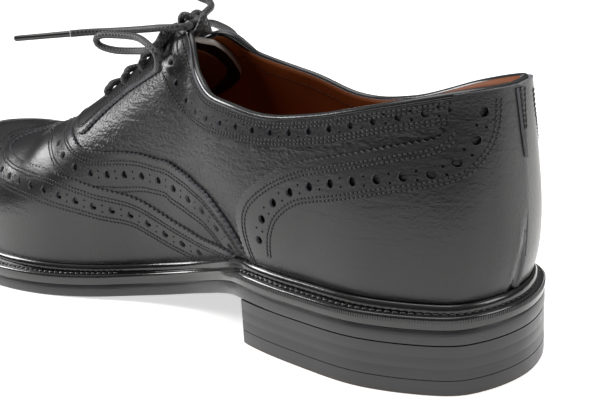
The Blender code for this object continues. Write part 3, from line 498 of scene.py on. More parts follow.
@dataclass(frozen=True)
class BuiltEdge:
    """Stacked leather, ground, inked and waxed: fine lines along the layers. Sizes in millimetres."""

    name: str
    colour: str
    worn: str
    roughness: float
    layer: float
    depth: float
    blotch: float = 9.0
    coat: float = 0.25
    coat_roughness: float = 0.22

    def build(self) -> bpy.types.Material:
        """The material with its layers and hairline scratches."""
        made, tree, shader = new_material(self.name)
        place = add_node(tree, "ShaderNodeTexCoord").outputs["Object"]
        flat = add_node(tree, "ShaderNodeMapping", {"Scale": (0.04, 0.04, 1.0)}, {"Vector": place})
        lines = add_node(tree, "ShaderNodeTexNoise",
                         {"Scale": 1000 / self.layer, "Detail": 4.0, "Roughness": 0.7},
                         {"Vector": flat.outputs["Vector"]})
        blots = add_node(tree, "ShaderNodeTexNoise", {"Scale": 1000 / self.blotch, "Detail": 5.0},
                         {"Vector": place})
        tint = add_node(tree, "ShaderNodeMix", {6: linear(self.colour), 7: linear(self.worn)},
                        {0: blots.outputs["Fac"]}, data_type="RGBA")
        rough = add_node(tree, "ShaderNodeMapRange",
                         {"From Min": 0.3, "From Max": 0.7, "To Min": self.roughness - 0.06,
                          "To Max": self.roughness + 0.08}, {"Value": blots.outputs["Fac"]})
        bump = add_node(tree, "ShaderNodeBump", {"Strength": 1.0, "Distance": self.depth * MM},
                        {"Height": lines.outputs["Fac"]})
        feed(tree, shader, {"Coat Weight": self.coat, "Coat Roughness": self.coat_roughness},
             {"Base Color": tint.outputs[2], "Roughness": rough.outputs["Result"],
              "Normal": bump.outputs["Normal"]})
        return made


@dataclass(frozen=True)
class Braid:
    """Braided, waxed cotton: crossing strands read from the cord's own UV map, in turns and millimetres."""

    name: str
    colour: str
    worn: str
    roughness: float
    strand: float
    depth: float
    sheen: float = 0.15

    def build(self) -> bpy.types.Material:
        """The material with its crossing strands."""
        made, tree, shader = new_material(self.name)
        uv = add_node(tree, "ShaderNodeUVMap", uv_map="run")
        first = add_node(tree, "ShaderNodeMapping", {"Scale": (6.0, 1.0 / self.strand, 1.0)},
                         {"Vector": uv.outputs[0]})
        waves = []
        for turn in (math.radians(45), math.radians(-45)):
            spun = add_node(tree, "ShaderNodeMapping", {"Rotation": (0.0, 0.0, turn)},
                            {"Vector": first.outputs["Vector"]})
            wave = add_node(tree, "ShaderNodeTexWave", {"Scale": 0.32, "Distortion": 0.0},
                            {"Vector": spun.outputs["Vector"]}, wave_profile="SIN")
            waves.append(wave.outputs["Fac"])
        cross = add_node(tree, "ShaderNodeMath", None, {0: waves[0], 1: waves[1]}, operation="MULTIPLY")
        tint = add_node(tree, "ShaderNodeMix", {6: linear(self.colour), 7: linear(self.worn)},
                        {0: cross.outputs[0]}, data_type="RGBA")
        bump = add_node(tree, "ShaderNodeBump", {"Strength": 1.0, "Distance": self.depth * MM},
                        {"Height": cross.outputs[0]})
        feed(tree, shader, {"Roughness": self.roughness, "Sheen Weight": self.sheen},
             {"Base Color": tint.outputs[2], "Normal": bump.outputs["Normal"]})
        return made


# Aniline calf, boarded by hand: a soft sheen broken by fine grain and long wrinkles.
QUARTER_CALF = Leather("boarded_black_calf", "#0a0a0b", "#121214", 0.36, coat=0.10, coat_roughness=0.30,
                       grain=1.1, grain_depth=0.16, wrinkle=2.6, wrinkle_depth=0.30)
# The same calf, brushed with wax on the vamp, facings and bands: smoother and a little brighter.
PANEL_CALF = Leather("brushed_black_calf", "#0a0a0b", "#131315", 0.33, coat=0.14, coat_roughness=0.26,
                     grain=0.8, grain_depth=0.07, wrinkle=3.4, wrinkle_depth=0.16)
# Wax-polished calf over a stiffener, at the toe and heel: broad clean highlights.
POLISHED_CALF = Leather("polished_black_calf", "#09090a", "#111113", 0.28, coat=0.22, coat_roughness=0.20,
                        grain=0.8, grain_depth=0.035, wrinkle=5.0, wrinkle_depth=0.10, swell_depth=0.2)
# Folded, glazed edge of the top line.
GLAZED_EDGE = Leather("glazed_black_edge", "#101011", "#1d1d1f", 0.24, coat=0.5, coat_roughness=0.12,
                      grain=0.7, grain_depth=0.03, wrinkle=4.0, wrinkle_depth=0.05)
# Cut edge of the panels, dyed: dull grey fibre where the knife went through, made lighter as a painted
# highlight on the bright tips of the pinked teeth.
CUT_EDGE_HIGHLIGHT = Leather("cut_edge_fibre_and_highlight", "#4c4c50", "#8c8c92", 0.36, grain=0.5, grain_depth=0.05,
                   wrinkle=1.5, wrinkle_depth=0.05)
# Vegetable-tanned lining: tan, matt and faintly mottled.
TAN_LINING = Leather("tan_lining_leather", "#9a5322", "#7c3f19", 0.55, grain=0.6, grain_depth=0.03,
                     wrinkle=5.0, wrinkle_depth=0.08)
# Lining leather behind the tongue, a darker brown than the tan lining.
TONGUE_LINING = Leather("brown_tongue_leather", "#6b371c", "#55290f", 0.6, grain=0.6, grain_depth=0.03,
                        wrinkle=4.0, wrinkle_depth=0.08)
# Split leather edge of the tongue: pale undyed fibre.
RAW_EDGE = Leather("raw_split_edge", "#a9a29b", "#8a837c", 0.75, grain=0.5, grain_depth=0.08,
                   wrinkle=1.2, wrinkle_depth=0.12)
# Storm welt, burnished with black wax until it shines.
WELT_WAX = Leather("burnished_welt", "#0a0a0a", "#141413", 0.22, coat=0.6, coat_roughness=0.12,
                   grain=1.0, grain_depth=0.03, wrinkle=3.0, wrinkle_depth=0.06,
                   wrinkle_stretch=(0.3, 0.3, 1.0))
SOLE_EDGE_WAX = BuiltEdge("inked_sole_edge", "#17171a", "#212124", 0.34, 1.4, 0.10)
HEEL_WAX = BuiltEdge("inked_heel_lifts", "#17171a", "#222226", 0.36, 1.8, 0.12)
# Bottom corner of the heel, painted brown as the contact shade where the heel meets the floor.
HEEL_CONTACT_SHADE = BuiltEdge("heel_contact_painted_shade", "#3a2b20", "#241d18", 0.6, 1.0, 0.05)
WAXED_COTTON = Braid("waxed_cotton_braid", "#161617", "#2c2c2e", 0.42, 1.1, 0.16)
THREAD = Leather("bonded_black_thread", "#1b1b1d", "#2a2a2c", 0.34, grain=0.3, grain_depth=0.02,
                 wrinkle=1.0, wrinkle_depth=0.02)
TAN_THREAD = Leather("brown_lining_thread", "#4a2812", "#38200f", 0.5, grain=0.3, grain_depth=0.02,
                     wrinkle=1.0, wrinkle_depth=0.02)
# Painted shadow: near-black discs laid on the leather between the stitches, where shade fills the needle holes.
NEEDLE_SHADOW = Leather("stitch_hole_painted_shadow", "#030303", "#050505", 0.9, grain=0.3, grain_depth=0.01,
                        wrinkle=1.0, wrinkle_depth=0.01)
TIP_FILM = Leather("crimped_acetate_tip", "#0c0c0c", "#141414", 0.18, coat=0.5, coat_roughness=0.08,
                   grain=2.0, grain_depth=0.01, wrinkle=6.0, wrinkle_depth=0.02)


def link_mesh(name: str, bm: bmesh.types.BMesh) -> bpy.types.Object:
    """Make a bmesh an object of the scene, and free it."""
    mesh = bpy.data.meshes.new(name)
    bm.to_mesh(mesh)
    bm.free()
    obj = bpy.data.objects.new(name, mesh)
    bpy.context.scene.collection.objects.link(obj)
    return obj


def pour(bm: bmesh.types.BMesh, into: bmesh.types.BMesh) -> None:
    """Add one bmesh to another, and free it."""
    mesh = bpy.data.meshes.new("poured")
    bm.to_mesh(mesh)
    bm.free()
    into.from_mesh(mesh)
    bpy.data.meshes.remove(mesh)


class Workshop:
    """Makes the meshes into objects that ride on the shoe, each finish built once."""

    def __init__(self) -> None:
        """Start with no finishes built."""
        self.finishes: dict[str, bpy.types.Material] = {}

    def finish(self, kind: object) -> bpy.types.Material:
        """The material of a finish, built the first time it is asked for."""
        if kind.name not in self.finishes:
            self.finishes[kind.name] = kind.build()
        return self.finishes[kind.name]

    def add(self, name: str, bm: bmesh.types.BMesh, kinds: list, slot: str, nodes: tuple = (),
            sharp: float = 40.0) -> bpy.types.Object:
        """Turn a bmesh into a piece of the shoe.

        Args:
            name: the piece's name.
            bm: its mesh, which is freed.
            kinds: the finishes of its material slots.
            slot: a material slot name; not used.
            nodes: the CAD nodes it stands for.
            sharp: the angle in degrees past which edges stay sharp.

        Returns:
            The new object.
        """
        obj = link_mesh(name, bm)
        mesh = obj.data
        for kind in kinds:
            mesh.materials.append(self.finish(kind))
        mesh.shade_smooth()
        mesh.set_sharp_from_angle(angle=math.radians(sharp))
        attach(obj, "root")
        if nodes:
            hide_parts(*nodes)
        log.info("%s: %d faces", name, len(mesh.polygons))
        return obj


def grid(points: np.ndarray, run: float = 0.0) -> bmesh.types.BMesh:
    """A grid mesh whose vertices are moved onto an array of points.

    Args:
        points: rows by columns of points.
        run: the length that the UV map's second axis covers, or 0 for no map.

    Returns:
        The mesh, its seams not merged yet.
    """
    rows, columns = points.shape[:2]
    bm = bmesh.new()
    bmesh.ops.create_grid(bm, x_segments=columns - 1, y_segments=rows - 1, size=1.0)
    layer = bm.loops.layers.uv.new("run") if run else None
    spots = {}
    for vert in bm.verts:
        column = round((vert.co.x + 1) / 2 * (columns - 1))
        row = round((vert.co.y + 1) / 2 * (rows - 1))
        spots[vert] = (column / (columns - 1), row / (rows - 1) * run)
        vert.co = points[row, column]
    if layer:
        for face in bm.faces:
            for loop in face.loops:
                loop[layer].uv = spots[loop.vert]
    return bm


def weld(bm: bmesh.types.BMesh, reach: float = MERGE) -> None:
    """Merge the vertices that lie on each other and point a closed mesh's faces outwards."""
    bmesh.ops.remove_doubles(bm, verts=bm.verts[:], dist=reach)
    bmesh.ops.recalc_face_normals(bm, faces=bm.faces[:])
    if bm.calc_volume(signed=True) < 0:
        bmesh.ops.reverse_faces(bm, faces=bm.faces[:])


def face_out(bm: bmesh.types.BMesh) -> None:
    """Merge an open skin's doubles and turn its faces away from the foot."""
    bmesh.ops.remove_doubles(bm, verts=bm.verts[:], dist=MERGE)
    bmesh.ops.recalc_face_normals(bm, faces=bm.faces[:])
    outward = 0.0
    for face in bm.faces:
        middle = face.calc_center_median()
        core = Vector((min(max(middle.x, 0.0), 0.2), 0.0, FORM.upper_height / 2))
        outward += face.calc_area() * face.normal.dot(middle - core)
    if outward < 0:
        bmesh.ops.reverse_faces(bm, faces=bm.faces[:])


def wall(obj: bpy.types.Object, thickness: float, offset: float, inner: int = 0, rim: int = 0) -> None:
    """Give an open skin its thickness, with other finishes on its back and its cut edge."""
    made = obj.modifiers.new("wall", "SOLIDIFY")
    made.thickness = thickness
    made.offset = offset
    made.material_offset = inner
    made.material_offset_rim = rim


def settle(obj: bpy.types.Object) -> None:
    """Turn a piece's modifiers into its own mesh."""
    bpy.context.view_layer.update()
    graph = bpy.context.evaluated_depsgraph_get()
    mesh = bpy.data.meshes.new_from_object(obj.evaluated_get(graph), preserve_all_data_layers=True,
                                           depsgraph=graph)
    obj.modifiers.clear()
    old = obj.data
    obj.data = mesh
    bpy.data.meshes.remove(old)


def shade_as_laid(mesh: bpy.types.Mesh) -> None:
    """Shade a panel by the leather's own curve, so that fine triangles round its holes don't show."""
    lay = np.zeros(3 * len(mesh.vertices))
    mesh.attributes["lay"].data.foreach_get("vector", lay)
    flat = np.zeros(3 * len(mesh.polygons))
    mesh.polygons.foreach_get("normal", flat)
    sizes = np.zeros(len(mesh.polygons), int)
    mesh.polygons.foreach_get("loop_total", sizes)
    corners = np.zeros(len(mesh.loops), int)
    mesh.loops.foreach_get("vertex_index", corners)
    lay = lay.reshape(-1, 3)[corners]
    flat = np.repeat(flat.reshape(-1, 3), sizes, axis=0)
    agree = (lay * flat).sum(1)[:, None]
    ways = np.where(agree > 0.6, lay, np.where(agree < -0.6, -lay, flat))
    mesh.normals_split_custom_set(ways.tolist())
    mesh.attributes.remove(mesh.attributes["lay"])


def tube(path: np.ndarray, radius: object, sides: int = 12) -> bmesh.types.BMesh:
    """A closed round cord along a path.

    Args:
        path: the centreline's points, in the part's frame.
        radius: one radius, or one for each point.
        sides: how many faces go round it.

    Returns:
        The mesh, with its UV map in turns and millimetres.
    """
    ahead = unit(np.gradient(path, axis=0))
    side = unit(np.cross(ahead[0], [0.13, 0.29, 0.95]))
    rings = []
    for spot, way, r in zip(path, ahead, np.broadcast_to(radius, len(path))):
        side = unit(side - way * side.dot(way))
        other = np.cross(way, side)
        turn = np.linspace(0, 2 * math.pi, sides + 1)[:, None]
        rings.append(spot + r * (np.cos(turn) * side + np.sin(turn) * other))
    reach = np.linalg.norm(np.diff(path, axis=0), axis=1).sum() / MM
    bm = grid(np.array(rings), reach)
    bmesh.ops.remove_doubles(bm, verts=bm.verts[:], dist=MERGE)
    bmesh.ops.holes_fill(bm, edges=[edge for edge in bm.edges if edge.is_boundary], sides=0)
    weld(bm)
    return bm


def repeat(seed: bmesh.types.BMesh, places: np.ndarray) -> bmesh.types.BMesh:
    """One small shape copied to many places as one mesh.

    Args:
        seed: the shape, which is freed.
        places: four-by-four matrices.

    Returns:
        The joined mesh.
    """
    bmesh.ops.triangulate(seed, faces=seed.faces[:])
    seed.verts.index_update()
    spots = np.array([(*vert.co, 1.0) for vert in seed.verts])
    corners = np.array([[vert.index for vert in face.verts] for face in seed.faces])
    seed.free()
    count, size = len(places), len(spots)
    cloud = np.einsum("nij,kj->nki", places, spots)[..., :3].reshape(-1, 3)
    faces = (corners[None] + (np.arange(count) * size)[:, None, None]).reshape(-1, 3)
    mesh = bpy.data.meshes.new("repeat")
    mesh.from_pydata(cloud.tolist(), [], faces.tolist())
    bm = bmesh.new()
    bm.from_mesh(mesh)
    bpy.data.meshes.remove(mesh)
    return bm


def frames(spots: np.ndarray, ahead: np.ndarray, up: np.ndarray,
           size: tuple[float, float, float]) -> np.ndarray:
    """Matrices that stand a small shape at each spot, its x along ahead and its z along up."""
    x = unit(ahead - up * (ahead * up).sum(-1, keepdims=True))
    y = np.cross(up, x)
    made = np.zeros((len(spots), 4, 4))
    made[:, :3, 0] = x * size[0]
    made[:, :3, 1] = y * size[1]
    made[:, :3, 2] = up * size[2]
    made[:, :3, 3] = spots
    made[:, 3, 3] = 1.0
    return made


def sewn(line: np.ndarray, side: int, height: float) -> tuple[np.ndarray, np.ndarray, np.ndarray]:
    """Spots over a line on the leather, with the directions along it and away from the foot."""
    u, v = line[:, 0], line[:, 1]
    spots = FORM.skin(u, v, side, height)
    return spots, np.gradient(spots, axis=0), FORM.normal(u, v, side)


def bead(segments: int, rings: int) -> bmesh.types.BMesh:
    """A round bead, to be drawn out into a stitch."""
    bm = bmesh.new()
    bmesh.ops.create_uvsphere(bm, u_segments=segments, v_segments=rings, radius=1.0)
    return bm


# Where stitches and holes may lie, in sections and shares.
SEWN_FROM_SECTION = 0.02
SEWN_SHARES = (0.03, 0.985)
PUNCHED_SECTIONS = (0.12, 16.9)
PUNCHED_SHARES = (0.09, 0.965)


@dataclass
class Rows:
    """Stitches and holes that follow one sewn edge. Distances in metres, into the panel."""

    stitches: tuple[float, ...] = (0.0023, 0.0036, 0.0097, 0.0110)
    holes: float | None = 0.0067
    pitch: float = 0.0080
    big: float = 0.00150
    pin: float = 0.00048
    pin_gap: float = 0.00130
    from_share: float = 0.0
    hole_line: tuple = ()
    inner_line: tuple = ()
    inner_gap: float = 0.0013


@dataclass
class Panel:
    """A piece of leather sewn over the upper, with a pinked edge, broguing and stitches. Lengths in metres."""

    name: str
    edge: tuple
    inward: int
    closing: tuple
    gap: float
    thickness: float
    kind: Leather = PANEL_CALF
    slot: str = "black_calf"
    rows: Rows = field(default_factory=Rows)
    sides: tuple[int, ...] = (1, -1)
    nodes: tuple[str, ...] = ()
    tooth: float = 0.0021
    tooth_height: float = 0.0008
    punched: tuple = ()
    step_u: float = 1 / 6
    step_v: float = 1 / 26

    def seam(self, side: int, distance: float, step: float) -> np.ndarray:
        """The panel's edge moved into the leather and read at a spacing."""
        base = FORM.along(self.edge, side, 0.0015)
        moved = FORM.beside(base, side, self.inward * distance)
        here = FORM.point(base[:, 0], base[:, 1], side)
        there = FORM.point(moved[:, 0], moved[:, 1], side)
        near = np.linalg.norm(there[:, None] - here[None], axis=-1).min(1)
        clear = near > 0.96 * distance
        moved = moved[clear] if clear.sum() > len(moved) / 2 else moved
        padded = np.concatenate([moved[:1].repeat(2, 0), moved, moved[-1:].repeat(2, 0)])
        moved = np.mean([padded[k : k + len(moved)] for k in range(5)], axis=0)
        return FORM.along(moved, side, step)

    def pinked(self, side: int) -> np.ndarray:
        """The zig-zag outline of the sewn edge."""
        line = FORM.along(self.edge, side, self.tooth / 2)
        out = np.where(np.arange(len(line)) % 2 == 1, -self.inward * self.tooth_height, 0.0)
        out[:2] = out[-2:] = 0.0
        return FORM.beside(line, side, out)

    def holes(self, side: int) -> list[np.ndarray]:
        """The rims of the panel's holes."""
        rims = [FORM.ring(np.array(spot), side, radius, 10) for spot, radius in self.punched]
        if len(self.rows.hole_line):
            line = FORM.along(self.rows.hole_line, side, self.rows.pitch / 2)
        elif self.rows.holes is None:
            return rims
        else:
            line = self.seam(side, self.rows.holes, self.rows.pitch / 2)
        first = max(int(len(line) * self.rows.from_share), 1)
        for k, spot in enumerate(line):
            u_fits = PUNCHED_SECTIONS[0] < spot[0] < PUNCHED_SECTIONS[1]
            v_fits = PUNCHED_SHARES[0] < spot[1] < PUNCHED_SHARES[1]
            if k < first or not (u_fits and v_fits):
                continue
            if k % 2:
                rims.append(FORM.ring(spot, side, self.rows.big, 12))
                continue
            for way in (-1, 1):
                pin = FORM.beside(line, side, way * self.rows.pin_gap)[k]
                rims.append(FORM.ring(pin, side, self.rows.pin, 6))
        return rims

    def flat(self, side: int) -> bmesh.types.BMesh:
        """The panel cut out flat, on a plane of sections and shares, and divided for bending."""
        bm = bmesh.new()
        scale = np.array([FORM.flat_u, FORM.flat_v])
        outline = np.concatenate([self.pinked(side), np.array(self.closing, float).reshape(-1, 2)])
        for loop in [outline, *self.holes(side)]:
            verts = [bm.verts.new((*(spot * scale), 0.0)) for spot in loop]
            for here, after in zip(verts, verts[1:] + verts[:1]):
                bm.edges.new((here, after))
        bmesh.ops.triangle_fill(bm, use_beauty=True, use_dissolve=False, edges=bm.edges[:], normal=(0, 0, 1))
        low, high = outline.min(0), outline.max(0)
        for axis, step in ((0, self.step_u), (1, self.step_v)):
            way = Vector((1.0, 0.0, 0.0) if axis == 0 else (0.0, 1.0, 0.0))
            for k in range(math.ceil(low[axis] / step), math.floor(high[axis] / step) + 1):
                geometry = bm.verts[:] + bm.edges[:] + bm.faces[:]
                bmesh.ops.bisect_plane(bm, geom=geometry, dist=0.002, plane_co=way * k * step * scale[axis],
                                       plane_no=way)
        bmesh.ops.triangulate(bm, faces=bm.faces[:])
        return bm

    def build(self, shop: Workshop) -> bpy.types.Object:
        """Cut the panel, bend it over the upper on each side and give it its thickness."""
        whole = bmesh.new()
        lay = whole.verts.layers.float_vector.new("lay")
        for side in self.sides:
            bm = self.flat(side)
            u, v = np.array([(vert.co.x / FORM.flat_u, vert.co.y / FORM.flat_v) for vert in bm.verts]).T
            v = np.clip(v, 0, 1)
            placed = {}
            for vert, spot, way in zip(bm.verts, FORM.skin(u, v, side, self.gap), FORM.lit(u, v, side)):
                placed[vert] = whole.verts.new(spot)
                placed[vert][lay] = way
            for face in bm.faces:
                whole.faces.new([placed[vert] for vert in face.verts])
            bm.free()
        face_out(whole)
        inner_edges = [edge for edge in whole.edges if len(edge.link_faces) == 2]
        bmesh.ops.beautify_fill(whole, faces=whole.faces[:], edges=inner_edges, method="ANGLE")
        # The cut edge gets the light grey finish: raw fibre and a painted highlight on the teeth's tips.
        obj = shop.add(self.name, whole, [self.kind, CUT_EDGE_HIGHLIGHT], self.slot, self.nodes)
        wall(obj, self.thickness, 1.0, rim=1)
        settle(obj)
        shade_as_laid(obj.data)
        return obj

    def stitches(self, step: float) -> list[tuple[np.ndarray, np.ndarray, np.ndarray]]:
        """Spots, directions and outward ways of the panel's stitches."""
        made = []
        for side in self.sides:
            lines = [self.seam(side, distance, step) for distance in self.rows.stitches]
            if self.rows.inner_line:
                inner = FORM.along(self.rows.inner_line, side, step)
                lines += [inner, FORM.beside(inner, side, self.inward * self.rows.inner_gap)]
            for line in lines:
                low, high = SEWN_SHARES
                line = line[(line[:, 1] > low) & (line[:, 1] < high) & (line[:, 0] > SEWN_FROM_SECTION)]
                made.append(sewn(line, side, self.gap + self.thickness))
        return made


@dataclass
class Upper:
    """The upper: one skin with its lining, the sewn panels and the rolled top line. Lengths in metres."""

    wall: float = 0.0020
    overlay: float = 0.0012
    snug: float = 0.0001
    ply: float = 0.0004
    stay: float = 0.0007
    collar_holes: float = 0.0044
    under_cap: float = 0.0070
    eyelet_rows: int = 4
    first_eyelet: float = 8.40
    last_eyelet: float = 9.74
    eyelet_edge: float = 0.0062
    eyelet_radius: float = 0.0019
    pin_length: float = 0.012
    roll: float = 0.00125
    roll_inset: float = 0.00055
    roll_drop: float = 0.0005
    roll_foot: float = 10.95
    roll_points: int = 240
    stitch_step: float = 0.0015
    stitch_size: tuple[float, float, float] = (0.00060, 0.00034, 0.00032)
    needle_size: tuple[float, float, float] = (0.00030, 0.00042, 1.0)
    top_rows: tuple[float, float] = (0.0019, 0.0031)
    lining_seam: float = 0.0050
    lining_step: float = 0.0020
    lining_size: tuple[float, float, float] = (0.0008, 0.0003, 0.0003)

    def eyelets(self, side: int) -> np.ndarray:
        """The lace holes as rows of (section, share)."""
        places = []
        for u in np.linspace(self.first_eyelet, self.last_eyelet, self.eyelet_rows):
            shares = np.linspace(1.0, 0.6, 41)
            line = FORM.point(u, shares, side)
            reach = reach_of(line)
            places.append((u, float(np.interp(self.eyelet_edge, reach, shares))))
        return np.array(places)

    def panels(self) -> list[Panel]:
        """The sewn panels, from the toe to the heel."""
        height = self.snug + self.overlay
        cap = Panel("wing_cap_leather", ((5.72, 0.0), *WING_EDGE), -1, ((TIP, 1.0), (TIP, 0.0)),
                    height - self.ply, self.overlay, POLISHED_CALF, "polished_calf", nodes=("wing_cap",),
                    rows=Rows(from_share=0.08))
        hidden = FORM.beside(FORM.along(WING_EDGE, 1, 0.004), 1, -self.under_cap)
        hidden = hidden[(hidden[:, 1] < 0.97) & (hidden[:, 1] > 0.02)]
        closing = ((hidden[-1][0] + 0.05, 1.0), *hidden[::-1], (6.3, 0.0))
        vamp_rows = Rows(stitches=(0.0023, 0.0036, 0.0110, 0.0124), holes=0.0070, from_share=0.06)
        vamp = Panel("vamp_leather", ((5.14, 0.0), *VAMP_EDGE), -1, closing, self.snug, self.overlay,
                     nodes=("vamp",), rows=vamp_rows)
        counter_rows = Rows(stitches=(0.0023, 0.0036), hole_line=COUNTER_HOLES, inner_line=COUNTER_INNER)
        counter = Panel("heel_counter_leather", ((5.12, 0.0), *COUNTER_EDGE[1:-1], (2.04, 1.0)), 1,
                        ((0.0, 1.0), (0.0, 0.0)), self.snug + self.ply, self.overlay, POLISHED_CALF,
                        "polished_calf", nodes=("heel_counter",), rows=counter_rows, step_u=1 / 10)
        stay = Panel("backstay_leather", BACKSTAY_EDGE, 1, ((0.0, 0.985),), height + self.ply, self.stay,
                     nodes=("backstay",), tooth_height=0.0, rows=Rows(stitches=(0.0009,), holes=None))
        made = [cap, vamp, counter, stay]
        low_row = FORM.along(((1.70, 0.89), *COLLAR_EDGE[:-4]), 1, 0.004)
        collar_holes = (*FORM.beside(low_row, 1, self.collar_holes), *COLLAR_TOP_HOLES)
        collar_rows = Rows(stitches=(0.0009, 0.0020), pitch=0.0078, big=0.00125, from_share=0.05,
                           hole_line=collar_holes)
        for side in Side:
            word = side.name.lower()
            band = Panel(f"collar_band_leather_{word}", ((1.70, 0.89), *COLLAR_EDGE[:-1], (8.08, 0.72)), 1,
                         ((8.30, 0.985), (1.70, 0.985)), self.snug, self.overlay, sides=(side.value,),
                         nodes=(f"collar_band_{word}",), tooth_height=0.0, rows=collar_rows)
            punched = tuple((tuple(spot), self.eyelet_radius) for spot in self.eyelets(side.value))
            face = Panel(f"facing_leather_{word}", FACING_EDGE, 1, ((8.14, 0.985),), self.snug, self.overlay,
                         sides=(side.value,), nodes=(f"facing_{word}",), tooth_height=0.0006,
                         rows=Rows(stitches=(0.0015, 0.0025), holes=None), punched=punched)
            made += [band, face]
        return made

    def shell(self, shop: Workshop) -> bpy.types.Object:
        """The upper's skin and its lining, with the lace holes cut through."""
        whole = bmesh.new()
        us = np.linspace(0, TIP, TIP * 7 + 1)
        vs = np.linspace(0, 1, 31)
        for side in Side:
            points = FORM.skin(us[:, None], vs[None, :], side.value)
            pour(grid(points), whole)
        face_out(whole)
        # The skin's cut edge gets the same light grey finish, partly a painted highlight.
        obj = shop.add("upper_skin", whole, [QUARTER_CALF, TAN_LINING, CUT_EDGE_HIGHLIGHT], "black_calf", ("upper",))
        wall(obj, self.wall, -1.0, inner=1, rim=2)
        pins = self.pins()
        cut = obj.modifiers.new("eyelets", "BOOLEAN")
        cut.operation = "DIFFERENCE"
        cut.object = pins
        settle(obj)
        bpy.data.objects.remove(pins, do_unlink=True)
        return obj

    def pins(self) -> bpy.types.Object:
        """The pins that punch the lace holes."""
        bm = bmesh.new()
        for side in Side:
            for u, v in self.eyelets(side.value):
                spot = Vector(FORM.skin(u, v, side.value))
                turn = Vector(FORM.normal(u, v, side.value)).to_track_quat("Z", "Y").to_matrix().to_4x4()
                bmesh.ops.create_cone(bm, cap_ends=True, segments=14, radius1=self.eyelet_radius,
                                      radius2=self.eyelet_radius, depth=self.pin_length,
                                      matrix=Matrix.Translation(spot) @ turn)
        obj = link_mesh("pins", bm)
        obj.hide_render = True
        return obj

    def top_roll(self, shop: Workshop) -> None:
        """The folded edge round the collar and down the throat."""
        up = np.linspace(self.roll_foot, 0.0, self.roll_points)
        u = np.concatenate([up, np.linspace(0.0, self.roll_foot, self.roll_points)[1:]])
        inner = np.arange(len(u)) < self.roll_points
        halves = [FORM.skin(u, 1.0, side.value, -self.roll_inset) for side in Side]
        path = np.where(inner[:, None], *halves)
        path[:, 2] -= self.roll_drop
        slim = np.interp(u, [0, 7.6, 8.3, 11], [self.roll, self.roll, 0.0009, 0.0007])
        shop.add("top_line_roll", tube(path, slim, 12), [GLAZED_EDGE], "black_calf")

    def sew(self, shop: Workshop, panels: list[Panel]) -> None:
        """All the upper's stitches with painted shadows for their needle holes, and the lining's seam."""
        runs = [run for panel in panels for run in panel.stitches(self.stitch_step)]
        lining = []
        for side in Side:
            line = FORM.along([(u, 1.0) for u in np.linspace(0.1, 8.0, 30)], side.value, 0.003)
            for depth in self.top_rows:
                moved = FORM.along(FORM.beside(line, side.value, -depth), side.value, self.stitch_step)
                runs.append(sewn(moved, side.value, self.snug + self.overlay))
            moved = FORM.along(FORM.beside(line, side.value, -self.lining_seam), side.value, self.lining_step)
            spots, ahead, up = sewn(moved, side.value, -self.wall)
            lining.append((spots, ahead, -up))
        spots, ahead, up = (np.concatenate(part) for part in zip(*runs))
        thread = bead(6, 4)
        bmesh.ops.rotate(thread, verts=thread.verts[:], matrix=Matrix.Rotation(math.pi / 2, 3, "Y"))
        shop.add("upper_stitches", repeat(thread, frames(spots, ahead, up, self.stitch_size)),
                 [THREAD], "black_calf", sharp=80)
        # Near-black discs between the stitches: painted shadow in the needle holes.
        pit = bmesh.new()
        bmesh.ops.create_circle(pit, cap_ends=True, segments=6, radius=1.0)
        between = spots + unit(ahead) * self.stitch_step / 2 + up * 0.00003
        shop.add("stitch_hole_shadows", repeat(pit, frames(between, ahead, up, self.needle_size)),
                 [NEEDLE_SHADOW], "black_calf")
        spots, ahead, up = (np.concatenate(part) for part in zip(*lining))
        shop.add("lining_stitches", repeat(bead(6, 4), frames(spots, ahead, up, self.lining_size)),
                 [TAN_THREAD], "tan_lining", sharp=80)

    def build(self, shop: Workshop) -> None:
        """Make the whole upper."""
        self.shell(shop)
        panels = self.panels()
        for panel in panels:
            panel.build(shop)
        self.sew(shop, panels)
        self.top_roll(shop)


